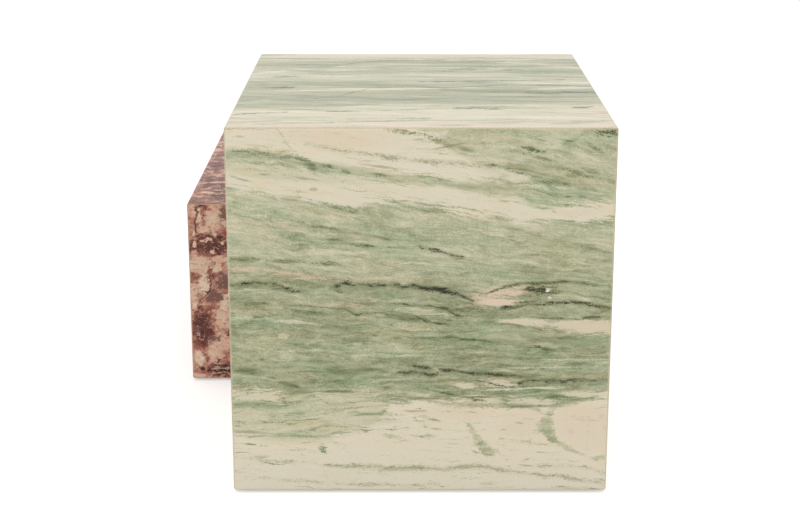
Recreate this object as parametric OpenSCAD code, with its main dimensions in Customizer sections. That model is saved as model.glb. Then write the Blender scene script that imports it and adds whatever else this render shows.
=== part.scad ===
// Side table of two marble blocks. A tall green and cream block stands in front. A lower red block
// stands behind it, set to the left, and is notched to wrap round the tall block's back left corner.
// Each block is five mitred slabs glued over a plywood carcass, and the two carcasses are bolted together.
// X runs left to right, Y from front to back and Z up. The origin is on the floor, at the centre of the plan.

/* [Tall block] */
// Width of the tall block, left to right
tall_w = 420; // [380:5:520]
// Depth of the tall block, front to back
tall_d = 500; // [400:5:680]
// Height of the tall block above the floor
tall_h = 420; // [330:5:560]

/* [Low block] */
// Width of the low block, left to right
low_w = 420; // [340:5:480]
// Depth of the low block, front to back
low_d = 500; // [420:5:640]
// Height of the low block above the floor
low_h = 245; // [235:5:320]

/* [How the blocks overlap] */
// Width of the low block that stands out to the left of the tall one
step_w = 90; // [84:2:140]
// Depth over which the two blocks overlap, front to back
overlap_d = 130; // [115:5:200]
// Joint between the low block and the faces of the tall block that it wraps round
block_gap = 0.3; // [0.1:0.1:0.8]

/* [Marble] */
// Thickness of the marble slabs
slab_t = 20; // [15:1:22]
// Radius of the eased edges
arris_r = 3; // [1:0.5:5]
// Height of the marble's lower edge above the floor
floor_gap = 3; // [2:0.5:5]

/* [Carcass] */
// Thickness of the plywood sides and tops
board_t = 15; // [12:1:17]
// Thickness of the base boards
base_t = 18; // [15:1:24]
// Height of the base boards' underside above the floor
base_z = 12; // [9:1:16]
// Clearance round a base board, which is fitted last
base_gap = 0.5; // [0.2:0.1:1]
// Side of the square corner battens
batten_w = 25; // [20:1:28]
// Thickness of the stiffening ribs
rib_t = 15; // [12:1:24]
// Height of the block that carries the base board in the low block's narrow arm
arm_block_h = 30; // [20:1:35]

/* [Feet] */
// Diameter of the glides
glide_d = 30; // [20:1:32]
// Thickness of the felt pad under each glide
pad_t = 3; // [2:0.5:4]
// How much smaller the felt pad is than its glide
pad_rim = 1; // [0:0.5:3]
// Distance of the glides from the blocks' outer faces
glide_inset = 80; // [75:1:110]
// Length of the glide screws
glide_screw_len = 20; // [14:1:22]
// How deep the glide screws' heads lie in the glides
glide_screw_sink = 2; // [1:0.5:4]

/* [Joining bolts] */
// Diameter of the joining bolts
bolt_d = 8; // [6:1:8]
// Height of the lower row of bolts above the floor
bolt_low_z = 80; // [78:1:100]
// Height of the upper row of bolts above the floor
bolt_high_z = 170; // [140:5:180]
// Distance of the back bolts from the ends of the notch that they close
bolt_inset = 85; // [60:5:120]
// Clearance of the bolt holes, on the diameter
bolt_hole_play = 1; // [0.5:0.1:2]
// Diameter of the washers
washer_d = 17; // [14:1:20]
// Free space left between a washer and the batten beside it
washer_gap = 3; // [1:0.5:4]
// Thickness of the washers
washer_t = 1.6; // [1:0.1:2.5]
// Thickness of the nuts
nut_t = 6.5; // [5:0.5:8]
// Width of the nuts and bolt heads across their corners
hex_d = 15; // [12:0.5:16]
// Thickness of the bolt heads
bolt_head_t = 5.3; // [4:0.1:7]
// Length of bolt that shows past a nut
bolt_tail = 3; // [1:0.5:6]
// Clearance of a screw or bolt in its own thread, on the radius
thread_play = 0.1; // [0.05:0.01:0.2]

/* [Wood screws] */
// Diameter of the wood screws
screw_d = 4; // [3:0.5:5]
// Diameter of the wood screws' heads
screw_head_d = 8; // [6.5:0.5:10]
// Height of the countersunk heads
screw_head_h = 2.4; // [2:0.2:3]
// Length of the wood screws' points
screw_tip = 4; // [2:0.5:6]
// Length of the screws through the sides and tops
side_screw_len = 35; // [25:1:36]
// Length of the screws through the base boards
base_screw_len = 38; // [28:1:44]
// How far the side screws stand from the battens' ends
side_screw_inset = 60; // [40:5:70]
// Distance between the two rows of side screws that enter one batten
screw_stagger = 14; // [10:1:20]

/* [Hidden] */
$fn = 48;

green_marble = [0.71, 0.71, 0.60];
red_marble = [0.60, 0.43, 0.37];
birch = [0.83, 0.70, 0.52];
pine = [0.88, 0.74, 0.50];
zinc = [0.72, 0.73, 0.75];
nylon = [0.12, 0.12, 0.12];
felt = [0.42, 0.40, 0.38];

// The plan of both blocks, centred on the origin
plan_w = step_w + tall_w;
plan_d = tall_d + low_d - overlap_d;
tall_x0 = plan_w / 2 - tall_w;
tall_x1 = plan_w / 2;
tall_y0 = -plan_d / 2;
tall_y1 = tall_y0 + tall_d;
low_x0 = -plan_w / 2;
low_x1 = low_x0 + low_w;
low_y0 = tall_y1 - overlap_d;
low_y1 = low_y0 + low_d;

// The room inside each block's boards, and the notch that the tall block takes from the low one
wall_t = slab_t + board_t;
tall_in_x0 = tall_x0 + wall_t;
tall_in_x1 = tall_x1 - wall_t;
tall_in_y0 = tall_y0 + wall_t;
tall_in_y1 = tall_y1 - wall_t;
tall_in_z1 = tall_h - wall_t;
low_in_x0 = low_x0 + wall_t;
low_in_x1 = low_x1 - wall_t;
low_in_y0 = low_y0 + wall_t;
low_in_y1 = low_y1 - wall_t;
low_in_z1 = low_h - wall_t;
notch_x = tall_x0 - block_gap;
notch_y = tall_y1 + block_gap;
arm_in_x1 = notch_x - board_t;
bay_in_y0 = notch_y + board_t;
arm_mid_x = (low_in_x0 + arm_in_x1) / 2;
base_top = base_z + base_t;
over = 1;

// The joining bolts run through two boards and one slab
bolt_grip = 2 * board_t + block_gap + slab_t;
arm_bolt_y = tall_in_y1 - batten_w - washer_d / 2 - washer_gap;
back_bolt_x = [tall_x0 + bolt_inset, low_x1 - bolt_inset];
bolt_z = [bolt_low_z, bolt_high_z];

// Each batten: the corner that it fills, the way it grows from there, and whether a board backs it along Y
tall_corners = [
    [tall_in_x0, tall_in_y0, 1, 1, true], [tall_in_x1, tall_in_y0, -1, 1, true],
    [tall_in_x1, tall_in_y1, -1, -1, true], [tall_in_x0, tall_in_y1, 1, -1, true],
];
low_corners = [
    [low_in_x0, bay_in_y0, 1, 1, false], [low_in_x1, bay_in_y0, -1, 1, true],
    [low_in_x1, low_in_y1, -1, -1, true], [low_in_x0, low_in_y1, 1, -1, true],
];
arm_block_mid = [arm_mid_x, low_in_y0 + batten_w / 2];

glide_places = [
    [tall_x0 + glide_inset, tall_y0 + glide_inset], [tall_x1 - glide_inset, tall_y0 + glide_inset],
    [tall_x1 - glide_inset, tall_y1 - glide_inset], [tall_x0 + glide_inset, tall_y1 - glide_inset],
    [arm_mid_x, low_y0 + glide_inset], [low_x1 - glide_inset, tall_y1 + glide_inset],
    [low_x1 - glide_inset, low_y1 - glide_inset], [low_x0 + glide_inset, low_y1 - glide_inset],
];

// A rectangle with rounded corners, from its lower left corner
module eased_rectangle(w, h) {
    translate([arris_r, 0]) square([w - 2 * arris_r, h]);
    translate([0, arris_r]) square([w, h - 2 * arris_r]);
    for (x = [arris_r, w - arris_r], y = [arris_r, h - arris_r])
        translate([x, y]) circle(arris_r);
}

// A whole block with every edge eased, from its lower front left corner
module eased_block(w, d, h) {
    intersection() {
        linear_extrude(h) eased_rectangle(w, d);
        translate([0, d, 0]) rotate([90, 0, 0]) linear_extrude(d) eased_rectangle(w, h);
        rotate([90, 0, 90]) linear_extrude(w) eased_rectangle(d, h);
    }
}

// A standing slab along X with its outer face on y = 0, mitred at both ends and along its top
module mitred_wall(w, h) {
    intersection() {
        linear_extrude(h) polygon([[0, 0], [w, 0], [w - slab_t, slab_t], [slab_t, slab_t]]);
        rotate([90, 0, 90]) linear_extrude(w)
            polygon([[0, 0], [slab_t, 0], [slab_t, h - slab_t], [0, h]]);
    }
}

// A top slab that is mitred on its four edges
module mitred_top(w, d, h) {
    intersection() {
        translate([0, d, 0]) rotate([90, 0, 0]) linear_extrude(d)
            polygon([[0, h], [slab_t, h - slab_t], [w - slab_t, h - slab_t], [w, h]]);
        rotate([90, 0, 90]) linear_extrude(w)
            polygon([[0, h], [slab_t, h - slab_t], [d - slab_t, h - slab_t], [d, h]]);
    }
}

// One slab of a block, by the face that it covers, with the block's eased edges
module block_slab(face, w, d, h) {
    intersection() {
        eased_block(w, d, h);
        if (face == "top") mitred_top(w, d, h);
        if (face == "front") mitred_wall(w, h);
        if (face == "right") translate([w, 0, 0]) rotate([0, 0, 90]) mitred_wall(d, h);
        if (face == "back") translate([w, d, 0]) rotate([0, 0, 180]) mitred_wall(w, h);
        if (face == "left") translate([0, d, 0]) rotate([0, 0, 270]) mitred_wall(d, h);
    }
}

// A board or batten between two opposite corners
module board(low, high) {
    translate(low) cube(high - low);
}

// The room that the tall block takes out of the low one, grown by a clearance
module notch(grow = 0) {
    board([notch_x - grow, low_y0 - over, -over], [low_x1 + over, notch_y + grow, low_h + over]);
}

// A countersunk wood screw that points up, with its head's flat face on z = 0
module wood_screw(len) {
    cylinder(h = screw_head_h, d1 = screw_head_d, d2 = screw_d);
    cylinder(h = len - screw_tip, d = screw_d);
    translate([0, 0, len - screw_tip]) cylinder(h = screw_tip, d1 = screw_d, d2 = screw_d / 4);
}

// The countersunk hole that the screw sits in, open below z = 0
module screw_hole(len) {
    play = 2 * thread_play;
    translate([0, 0, -over]) cylinder(h = over, d = screw_head_d + play);
    cylinder(h = screw_head_h, d1 = screw_head_d + play, d2 = screw_d + play);
    cylinder(h = len + thread_play, d = screw_d + play);
}

// The places of the screws that hold the sides to the battens of one block
module at_side_screws(corners, z1) {
    for (c = corners, z = [base_top + side_screw_inset, z1 - side_screw_inset]) {
        translate([c[0] - c[2] * board_t, c[1] + c[3] * batten_w / 2, z])
            rotate([0, 90 * c[2], 0]) children();
        if (c[4])
            translate([c[0] + c[2] * batten_w / 2, c[1] - c[3] * board_t, z + screw_stagger])
                rotate([-90 * c[3], 0, 0]) children();
    }
}

// The places of the screws that hold the top board to the battens of one block
module at_top_screws(corners, z1) {
    for (c = corners)
        translate([c[0] + c[2] * batten_w / 2, c[1] + c[3] * batten_w / 2, z1 + board_t])
            rotate([180, 0, 0]) children();
}

module at_all_side_screws() {
    at_side_screws(tall_corners, tall_in_z1) children();
    at_side_screws(low_corners, low_in_z1) children();
    at_top_screws(tall_corners, tall_in_z1) children();
    at_top_screws(low_corners, low_in_z1) children();
}

// The places of the screws that hold the base boards up against the battens
module at_base_screws() {
    for (c = concat(tall_corners, low_corners))
        translate([c[0] + c[2] * batten_w / 2, c[1] + c[3] * batten_w / 2, base_z]) children();
    translate([arm_block_mid[0], arm_block_mid[1], base_z]) children();
}

module at_glides() {
    for (p = glide_places) translate([p[0], p[1], 0]) children();
}

// The places of the joining bolts, each along z from the low block's side of the joint
module at_joining_bolts() {
    for (z = bolt_z) {
        for (x = back_bolt_x) translate([x, bay_in_y0, z]) rotate([90, 0, 0]) children();
        translate([arm_in_x1, arm_bolt_y, z]) rotate([0, 90, 0]) children();
    }
}

module bolt_holes() {
    at_joining_bolts() translate([0, 0, -over]) cylinder(h = bolt_grip + 2 * over, d = bolt_d + bolt_hole_play);
}

module side_screw_holes() {
    at_all_side_screws() screw_hole(side_screw_len);
}

module base_screw_holes() {
    at_base_screws() screw_hole(base_screw_len);
}

module tall_slab(face) {
    color(green_marble) translate([tall_x0, tall_y0, floor_gap])
        block_slab(face, tall_w, tall_d, tall_h - floor_gap);
}

module low_slab(face) {
    color(red_marble) difference() {
        translate([low_x0, low_y0, floor_gap]) block_slab(face, low_w, low_d, low_h - floor_gap);
        notch();
    }
}

// A plywood board with the holes for the side screws
module core_board(low, high) {
    color(birch) difference() {
        board(low, high);
        side_screw_holes();
    }
}

module tall_top_slab() {
    tall_slab("top");
}

module tall_front_slab() {
    tall_slab("front");
}

module tall_right_slab() {
    tall_slab("right");
}

module tall_back_slab() {
    color(green_marble) difference() {
        tall_slab("back");
        bolt_holes();
    }
}

module tall_left_slab() {
    color(green_marble) difference() {
        tall_slab("left");
        bolt_holes();
    }
}

module low_top_slab() {
    low_slab("top");
}

module low_front_slab() {
    low_slab("front");
}

module low_right_slab() {
    low_slab("right");
}

module low_back_slab() {
    low_slab("back");
}

module low_left_slab() {
    low_slab("left");
}

module tall_core_top() {
    core_board([tall_in_x0 - board_t, tall_in_y0 - board_t, tall_in_z1],
        [tall_in_x1 + board_t, tall_in_y1 + board_t, tall_in_z1 + board_t]);
}

module tall_core_front() {
    core_board([tall_in_x0 - board_t, tall_in_y0 - board_t, base_z],
        [tall_in_x1 + board_t, tall_in_y0, tall_in_z1]);
}

module tall_core_right() {
    core_board([tall_in_x1, tall_in_y0, base_z], [tall_in_x1 + board_t, tall_in_y1, tall_in_z1]);
}

module tall_core_back() {
    color(birch) difference() {
        core_board([tall_in_x0 - board_t, tall_in_y1, base_z],
            [tall_in_x1 + board_t, tall_in_y1 + board_t, tall_in_z1]);
        bolt_holes();
    }
}

module tall_core_left() {
    color(birch) difference() {
        core_board([tall_in_x0 - board_t, tall_in_y0, base_z], [tall_in_x0, tall_in_y1, tall_in_z1]);
        bolt_holes();
    }
}

module low_core_top() {
    color(birch) difference() {
        core_board([low_in_x0 - board_t, low_in_y0 - board_t, low_in_z1],
            [low_in_x1 + board_t, low_in_y1 + board_t, low_in_z1 + board_t]);
        notch();
    }
}

module low_core_front() {
    core_board([low_in_x0, low_in_y0 - board_t, base_z], [arm_in_x1, low_in_y0, low_in_z1]);
}

module low_core_right() {
    core_board([low_in_x1, bay_in_y0, base_z], [low_in_x1 + board_t, low_in_y1, low_in_z1]);
}

module low_core_back() {
    core_board([low_in_x0, low_in_y1, base_z], [low_in_x1 + board_t, low_in_y1 + board_t, low_in_z1]);
}

module low_core_left() {
    core_board([low_in_x0 - board_t, low_in_y0 - board_t, base_z],
        [low_in_x0, low_in_y1 + board_t, low_in_z1]);
}

// The board of the low carcass that lies along the tall block's left face
module low_notch_side() {
    color(birch) difference() {
        board([arm_in_x1, low_in_y0 - board_t, base_z], [notch_x, notch_y, low_in_z1]);
        bolt_holes();
    }
}

// The board of the low carcass that lies along the tall block's back face
module low_notch_back() {
    color(birch) difference() {
        core_board([arm_in_x1, notch_y, base_z], [low_in_x1 + board_t, bay_in_y0, low_in_z1]);
        bolt_holes();
    }
}

// A base board with its screw holes, before any notch
module base_board(low, high) {
    grow = [base_gap, base_gap, 0];
    difference() {
        board(low + grow, high - grow);
        base_screw_holes();
        at_glides() translate([0, 0, pad_t + glide_screw_sink]) screw_hole(glide_screw_len);
    }
}

module tall_base_board() {
    color(birch) base_board([tall_in_x0, tall_in_y0, base_z], [tall_in_x1, tall_in_y1, base_top]);
}

module low_base_board() {
    color(birch) difference() {
        base_board([low_in_x0, low_in_y0, base_z], [low_in_x1, low_in_y1, base_top]);
        notch(board_t + base_gap);
    }
}

module tall_rib() {
    mid = (tall_in_y0 + tall_in_y1) / 2;
    color(birch) board([tall_in_x0, mid - rib_t / 2, base_top], [tall_in_x1, mid + rib_t / 2, tall_in_z1]);
}

module low_rib() {
    mid = (bay_in_y0 + low_in_y1) / 2;
    color(birch) board([low_in_x0, mid - rib_t / 2, base_top], [low_in_x1, mid + rib_t / 2, low_in_z1]);
}

// The battens that stand in one block's corners
module battens(corners, z1) {
    color(pine) difference() {
        for (c = corners)
            translate([c[0] + (c[2] - 1) / 2 * batten_w, c[1] + (c[3] - 1) / 2 * batten_w, base_top])
                cube([batten_w, batten_w, z1 - base_top]);
        side_screw_holes();
        base_screw_holes();
    }
}

module tall_battens() {
    battens(tall_corners, tall_in_z1);
}

module low_battens() {
    battens(low_corners, low_in_z1);
}

module low_arm_block() {
    color(pine) difference() {
        board([low_in_x0, low_in_y0, base_top], [arm_in_x1, low_in_y0 + batten_w, base_top + arm_block_h]);
        base_screw_holes();
    }
}

module joining_bolts() {
    color(zinc) at_joining_bolts() translate([0, 0, -washer_t]) {
        translate([0, 0, -bolt_head_t]) cylinder(h = bolt_head_t, d = hex_d, $fn = 6);
        cylinder(h = bolt_grip + 2 * washer_t + nut_t + bolt_tail, d = bolt_d);
    }
}

module joining_washers() {
    color(zinc) at_joining_bolts() for (z = [-washer_t, bolt_grip]) translate([0, 0, z]) difference() {
        cylinder(h = washer_t, d = washer_d);
        translate([0, 0, -over]) cylinder(h = washer_t + 2 * over, d = bolt_d + bolt_hole_play / 2);
    }
}

module joining_nuts() {
    color(zinc) at_joining_bolts() translate([0, 0, bolt_grip + washer_t]) difference() {
        cylinder(h = nut_t, d = hex_d, $fn = 6);
        translate([0, 0, -over]) cylinder(h = nut_t + 2 * over, d = bolt_d + 2 * thread_play);
    }
}

module side_screws() {
    color(zinc) at_all_side_screws() wood_screw(side_screw_len);
}

module base_screws() {
    color(zinc) at_base_screws() wood_screw(base_screw_len);
}

module glide_screws() {
    color(zinc) at_glides() translate([0, 0, pad_t + glide_screw_sink]) wood_screw(glide_screw_len);
}

module glides() {
    color(nylon) at_glides() difference() {
        translate([0, 0, pad_t]) cylinder(h = base_z - pad_t, d = glide_d);
        translate([0, 0, pad_t + glide_screw_sink]) {
            screw_hole(glide_screw_len);
            translate([0, 0, -base_z]) cylinder(h = base_z, d = screw_head_d + 2 * thread_play);
        }
    }
}

module felt_pads() {
    color(felt) at_glides() cylinder(h = pad_t, d = glide_d - 2 * pad_rim);
}

tall_top_slab();
tall_front_slab();
tall_right_slab();
tall_back_slab();
tall_left_slab();
low_top_slab();
low_front_slab();
low_right_slab();
low_back_slab();
low_left_slab();
tall_core_top();
tall_core_front();
tall_core_right();
tall_core_back();
tall_core_left();
tall_base_board();
tall_rib();
tall_battens();
low_core_top();
low_core_front();
low_core_right();
low_core_back();
low_core_left();
low_notch_side();
low_notch_back();
low_base_board();
low_rib();
low_battens();
low_arm_block();
joining_bolts();
joining_washers();
joining_nuts();
side_screws();
base_screws();
glide_screws();
glides();
felt_pads();
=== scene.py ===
import math

import bpy
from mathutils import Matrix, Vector


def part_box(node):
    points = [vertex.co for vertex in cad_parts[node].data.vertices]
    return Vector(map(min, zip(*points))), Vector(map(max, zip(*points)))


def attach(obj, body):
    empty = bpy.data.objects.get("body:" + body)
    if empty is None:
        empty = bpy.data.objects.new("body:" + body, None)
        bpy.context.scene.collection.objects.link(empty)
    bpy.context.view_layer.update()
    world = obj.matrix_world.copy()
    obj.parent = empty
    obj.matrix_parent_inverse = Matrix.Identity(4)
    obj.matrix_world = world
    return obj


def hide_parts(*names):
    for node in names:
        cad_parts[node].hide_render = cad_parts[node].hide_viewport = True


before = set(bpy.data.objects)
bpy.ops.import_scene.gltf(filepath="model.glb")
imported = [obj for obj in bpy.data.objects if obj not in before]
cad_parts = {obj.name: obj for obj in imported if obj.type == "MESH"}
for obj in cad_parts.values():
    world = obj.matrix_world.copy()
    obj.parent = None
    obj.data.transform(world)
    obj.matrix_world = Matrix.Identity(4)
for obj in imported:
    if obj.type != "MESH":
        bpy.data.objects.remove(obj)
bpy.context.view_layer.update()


# colours are given as a picture shows them, 0 to 255
def tone(colour):
    parts = [c / 255 for c in colour]
    return tuple(c / 12.92 if c <= 0.04045 else ((c + 0.055) / 1.055) ** 2.4 for c in parts) + (1,)


def put(tree, kind, values=None, **settings):
    node = tree.nodes.new("ShaderNode" + kind)
    for name, setting in settings.items():
        setattr(node, name, setting)
    for socket, value in (values or {}).items():
        if isinstance(value, bpy.types.NodeSocket):
            tree.links.new(value, node.inputs[socket])
        else:
            node.inputs[socket].default_value = value
    return node


def calc(tree, operation, *values):
    return put(tree, "Math", dict(enumerate(values)), operation=operation).outputs[0]


# the sum of several values, each times its weight
def summed(tree, *parts):
    total = None
    for value, weight in reversed(parts):
        if total is None:
            total = calc(tree, "MULTIPLY", value, weight)
        else:
            total = calc(tree, "MULTIPLY_ADD", value, weight, total)
    return total


# the greatest or the least of several values
def pick(tree, operation, values):
    best = values[0]
    for value in values[1:]:
        best = calc(tree, operation, best, value)
    return best


def mixValue(tree, share, one, other):
    return put(tree, "Mix", {0: share, 2: one, 3: other}, data_type="FLOAT").outputs[0]


def mixColour(tree, share, one, other, mode="MIX"):
    return put(tree, "Mix", {0: share, 6: one, 7: other}, data_type="RGBA", blend_type=mode).outputs[2]


def fade(tree, value, start, end, low=0, high=1):
    values = {0: value, 1: start, 2: end, 3: low, 4: high}
    return put(tree, "MapRange", values, interpolation_type="SMOOTHSTEP").outputs[0]


def spread(tree, place, size, shift=0):
    values = {0: place, 1: [1 / s for s in size], 2: (shift, shift * 0.7, shift * 1.3)}
    return put(tree, "VectorMath", values, operation="MULTIPLY_ADD").outputs[0]


# noise with grains of a size in millimetres: along, up and into the face
def noise(tree, place, size, detail, roughness, shift, colour=False):
    values = {"Vector": spread(tree, place, size, shift), "Scale": 1}
    values.update({"Detail": detail, "Roughness": roughness})
    return put(tree, "TexNoise", values).outputs[1 if colour else 0]


# the same noise, centred on zero
def grainOf(tree, place, size, detail, roughness, shift):
    return calc(tree, "SUBTRACT", noise(tree, place, size, detail, roughness, shift), 0.5)


# moves a place about by a noise, with the reach in millimetres
def stir(tree, place, size, reach, shift, detail=3):
    parts = put(tree, "SeparateColor", {0: noise(tree, place, size, detail, 0.6, shift, colour=True)})
    swirl = put(tree, "CombineXYZ", {n: parts.outputs[n] for n in range(3)}).outputs[0]
    centred = put(tree, "VectorMath", {0: swirl, 1: (0.5, 0.5, 0.5)}, operation="SUBTRACT").outputs[0]
    return put(tree, "VectorMath", {0: centred, 1: reach, 2: place}, operation="MULTIPLY_ADD").outputs[0]


def ramp(tree, value, stops):
    node = put(tree, "ValToRGB", {0: value})
    elements = node.color_ramp.elements
    elements.remove(elements[1])
    elements[0].position = stops[0][0]
    elements[0].color = tone(stops[0][1])
    for position, colour in stops[1:]:
        elements.new(position).color = tone(colour)
    return node.outputs[0]


def setCurve(curve, points):
    while len(curve.points) < len(points):
        curve.points.new(0.5, 0.5)
    for point, (x, y) in zip(curve.points, points):
        point.location = (x, y)
        point.handle_type = "AUTO_CLAMPED"


curveStart = -20        # where the curves' room begins along a face, in millimetres
curveRoom = 560
curveThick = 100


def roomShare(distance):
    return (distance - curveStart) / curveRoom


# a place in millimetres as the curves count it, 0 to 1
def inRoom(tree, value):
    return calc(tree, "MULTIPLY_ADD", value, 1 / curveRoom, -curveStart / curveRoom)


# a value that changes with height, through given points
def byHeight(tree, up, points, lift=0):
    node = put(tree, "FloatCurve", {1: inRoom(tree, up)})
    node.mapping.extend = "HORIZONTAL"
    setCurve(node.mapping.curves[0], [(roomShare(height), lift + value) for height, value in points])
    node.mapping.update()
    return node.outputs[0]


# a place in both directions of a face as the curves count it, each alone and three times over
def bothWays(tree, place):
    parts = put(tree, "SeparateXYZ", {0: place})
    ways = []
    for number in (0, 1):
        one = inRoom(tree, parts.outputs[number])
        ways.append((one, put(tree, "CombineColor", {0: one, 1: one, 2: one}).outputs[0]))
    return ways


# how near a point is to a band or vein through placed points: along, up, half its height, strength
def bandNear(tree, run, rise, points, soft):
    node = put(tree, "RGBCurve", {1: run[1]})
    node.mapping.extend = "HORIZONTAL"
    spots = [(roomShare(p[0]), p) for p in points]
    setCurve(node.mapping.curves[0], [(x, roomShare(p[1])) for x, p in spots])
    setCurve(node.mapping.curves[1], [(x, p[2] / curveThick) for x, p in spots])
    setCurve(node.mapping.curves[2], [(x, p[3]) for x, p in spots])
    node.mapping.update()
    parts = put(tree, "SeparateColor", {0: node.outputs[0]})
    off = calc(tree, "ABSOLUTE", calc(tree, "SUBTRACT", rise[0], parts.outputs[0]))
    half = calc(tree, "MULTIPLY_ADD", parts.outputs[1], curveThick / soft, 0.5)
    near = calc(tree, "MULTIPLY_ADD", off, -curveRoom / soft, half)
    near = put(tree, "Clamp", {0: near}).outputs[0]
    return calc(tree, "MULTIPLY", near, parts.outputs[2])


# the same for short marks: along, up, half length, half height, tilt
def marksNear(tree, place, marks, reach=2):
    near = []
    for along, up, long, high, tilt in marks:
        values = {0: place, 1: (along, up, 0), 2: (0, 0, math.radians(tilt))}
        values[3] = (long * reach, high * reach, 9999)
        spot = put(tree, "Mapping", values, vector_type="TEXTURE").outputs[0]
        near.append(put(tree, "TexGradient", {0: spot}, gradient_type="SPHERICAL").outputs[1])
    return pick(tree, "MAXIMUM", near)


# turns nearness into a mask with an outline frayed by the grain
def frayed(tree, near, fray, low, high):
    mask = fade(tree, calc(tree, "ADD", near, fray), low, high)
    return calc(tree, "MULTIPLY", mask, fade(tree, near, 0, 0.16))


def newMaterial(name):
    material = bpy.data.materials.new(name)
    material.use_nodes = True
    material.node_tree.nodes.clear()
    return material, material.node_tree


def finishMaterial(tree, colour, roughness, height, depth=0.0002, **fixed):
    shader = put(tree, "BsdfPrincipled", {"Base Color": colour, "Roughness": roughness})
    for name, value in fixed.items():
        shader.inputs[name.replace("_", " ")].default_value = value
    bump = put(tree, "Bump", {"Strength": 1, "Distance": depth, "Height": height})
    tree.links.new(bump.outputs[0], shader.inputs["Normal"])
    out = put(tree, "OutputMaterial")
    tree.links.new(shader.outputs[0], out.inputs[0])


# a face's own millimetres: along it, up it and into the stone
def faceAxes(tree, axes):
    where = put(tree, "TexCoord").outputs["Object"]
    apart = put(tree, "SeparateXYZ", {0: where})
    ways = []
    for letter, sign, start in axes:
        ways.append(calc(tree, "MULTIPLY_ADD", apart.outputs[letter], 1000 * sign, start))
    return ways + [put(tree, "CombineXYZ", dict(enumerate(ways))).outputs[0]]


# the polish of a stone, whose eased edges are honed and rougher, with a painted highlight that shows them
# paler
def polishWithEdgeHighlight(tree, look, stone, colour, along, up, place, speck):
    ways = {"along": along, "up": up}
    gaps = [calc(tree, "MULTIPLY_ADD", ways[way], sign, start) for way, sign, start in look["edges"]]
    gap = pick(tree, "MINIMUM", gaps)
    wander = noise(tree, place, (9, 9, 9), 3, 0.6, look["shift"] + 10)
    arris = fade(tree, calc(tree, "MULTIPLY_ADD", wander, 2.2, gap), 3.7, 2.2)
    share = calc(tree, "MULTIPLY", arris, stone["edgeHighlightShare"])
    # painted highlight: the eased edges are mixed towards a paler tone
    colour = mixColour(tree, share, colour, tone(stone["edgeHighlightTone"]))
    rough = calc(tree, "MULTIPLY_ADD", speck, 0.14, 0.27)
    rough = calc(tree, "MULTIPLY_ADD", arris, 0.22, rough)
    height = calc(tree, "MULTIPLY_ADD", arris, wander, calc(tree, "MULTIPLY", speck, 0.15))
    finishMaterial(tree, colour, rough, height, 0.00015, Specular_IOR_Level=look["shine"])


# green and cream marble. its sizes are in millimetres, along, up and into the stone
greenMarble = {
    "tones": [
        (0.00, (34, 36, 22)), (0.15, (80, 85, 54)), (0.30, (119, 124, 91)), (0.42, (139, 144, 111)),
        (0.52, (157, 160, 128)), (0.62, (173, 174, 143)), (0.72, (188, 186, 157)), (0.82, (204, 198, 172)),
        (0.92, (216, 207, 184)), (1.00, (226, 216, 197)),
    ],
    # painted highlight along the eased edges: its tone and how strongly it is mixed in
    "edgeHighlightTone": (219, 203, 174),
    "edgeHighlightShare": 0.7,
    "shadowTone": (192, 198, 170),      # beside the veins
    "coolTone": (243, 253, 249),
    "warmTone": (255, 252, 246),
    "wildTone": 0.88,
    "leanMiddle": 210,                  # along the face, where a leaning layer keeps its height
    "cloudSize": (95, 22, 60),
    "streakSize": (44, 4.2, 30),
    "threadSize": (14, 1.5, 10),
    "fleckSize": (5, 1.7, 4),
    "speckSize": (1.9, 1.3, 2),
    "swellSize": (17, 6, 10),
    "mottleSize": (15, 6.5, 12),
    "hueSize": (80, 16, 50),
}


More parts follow.
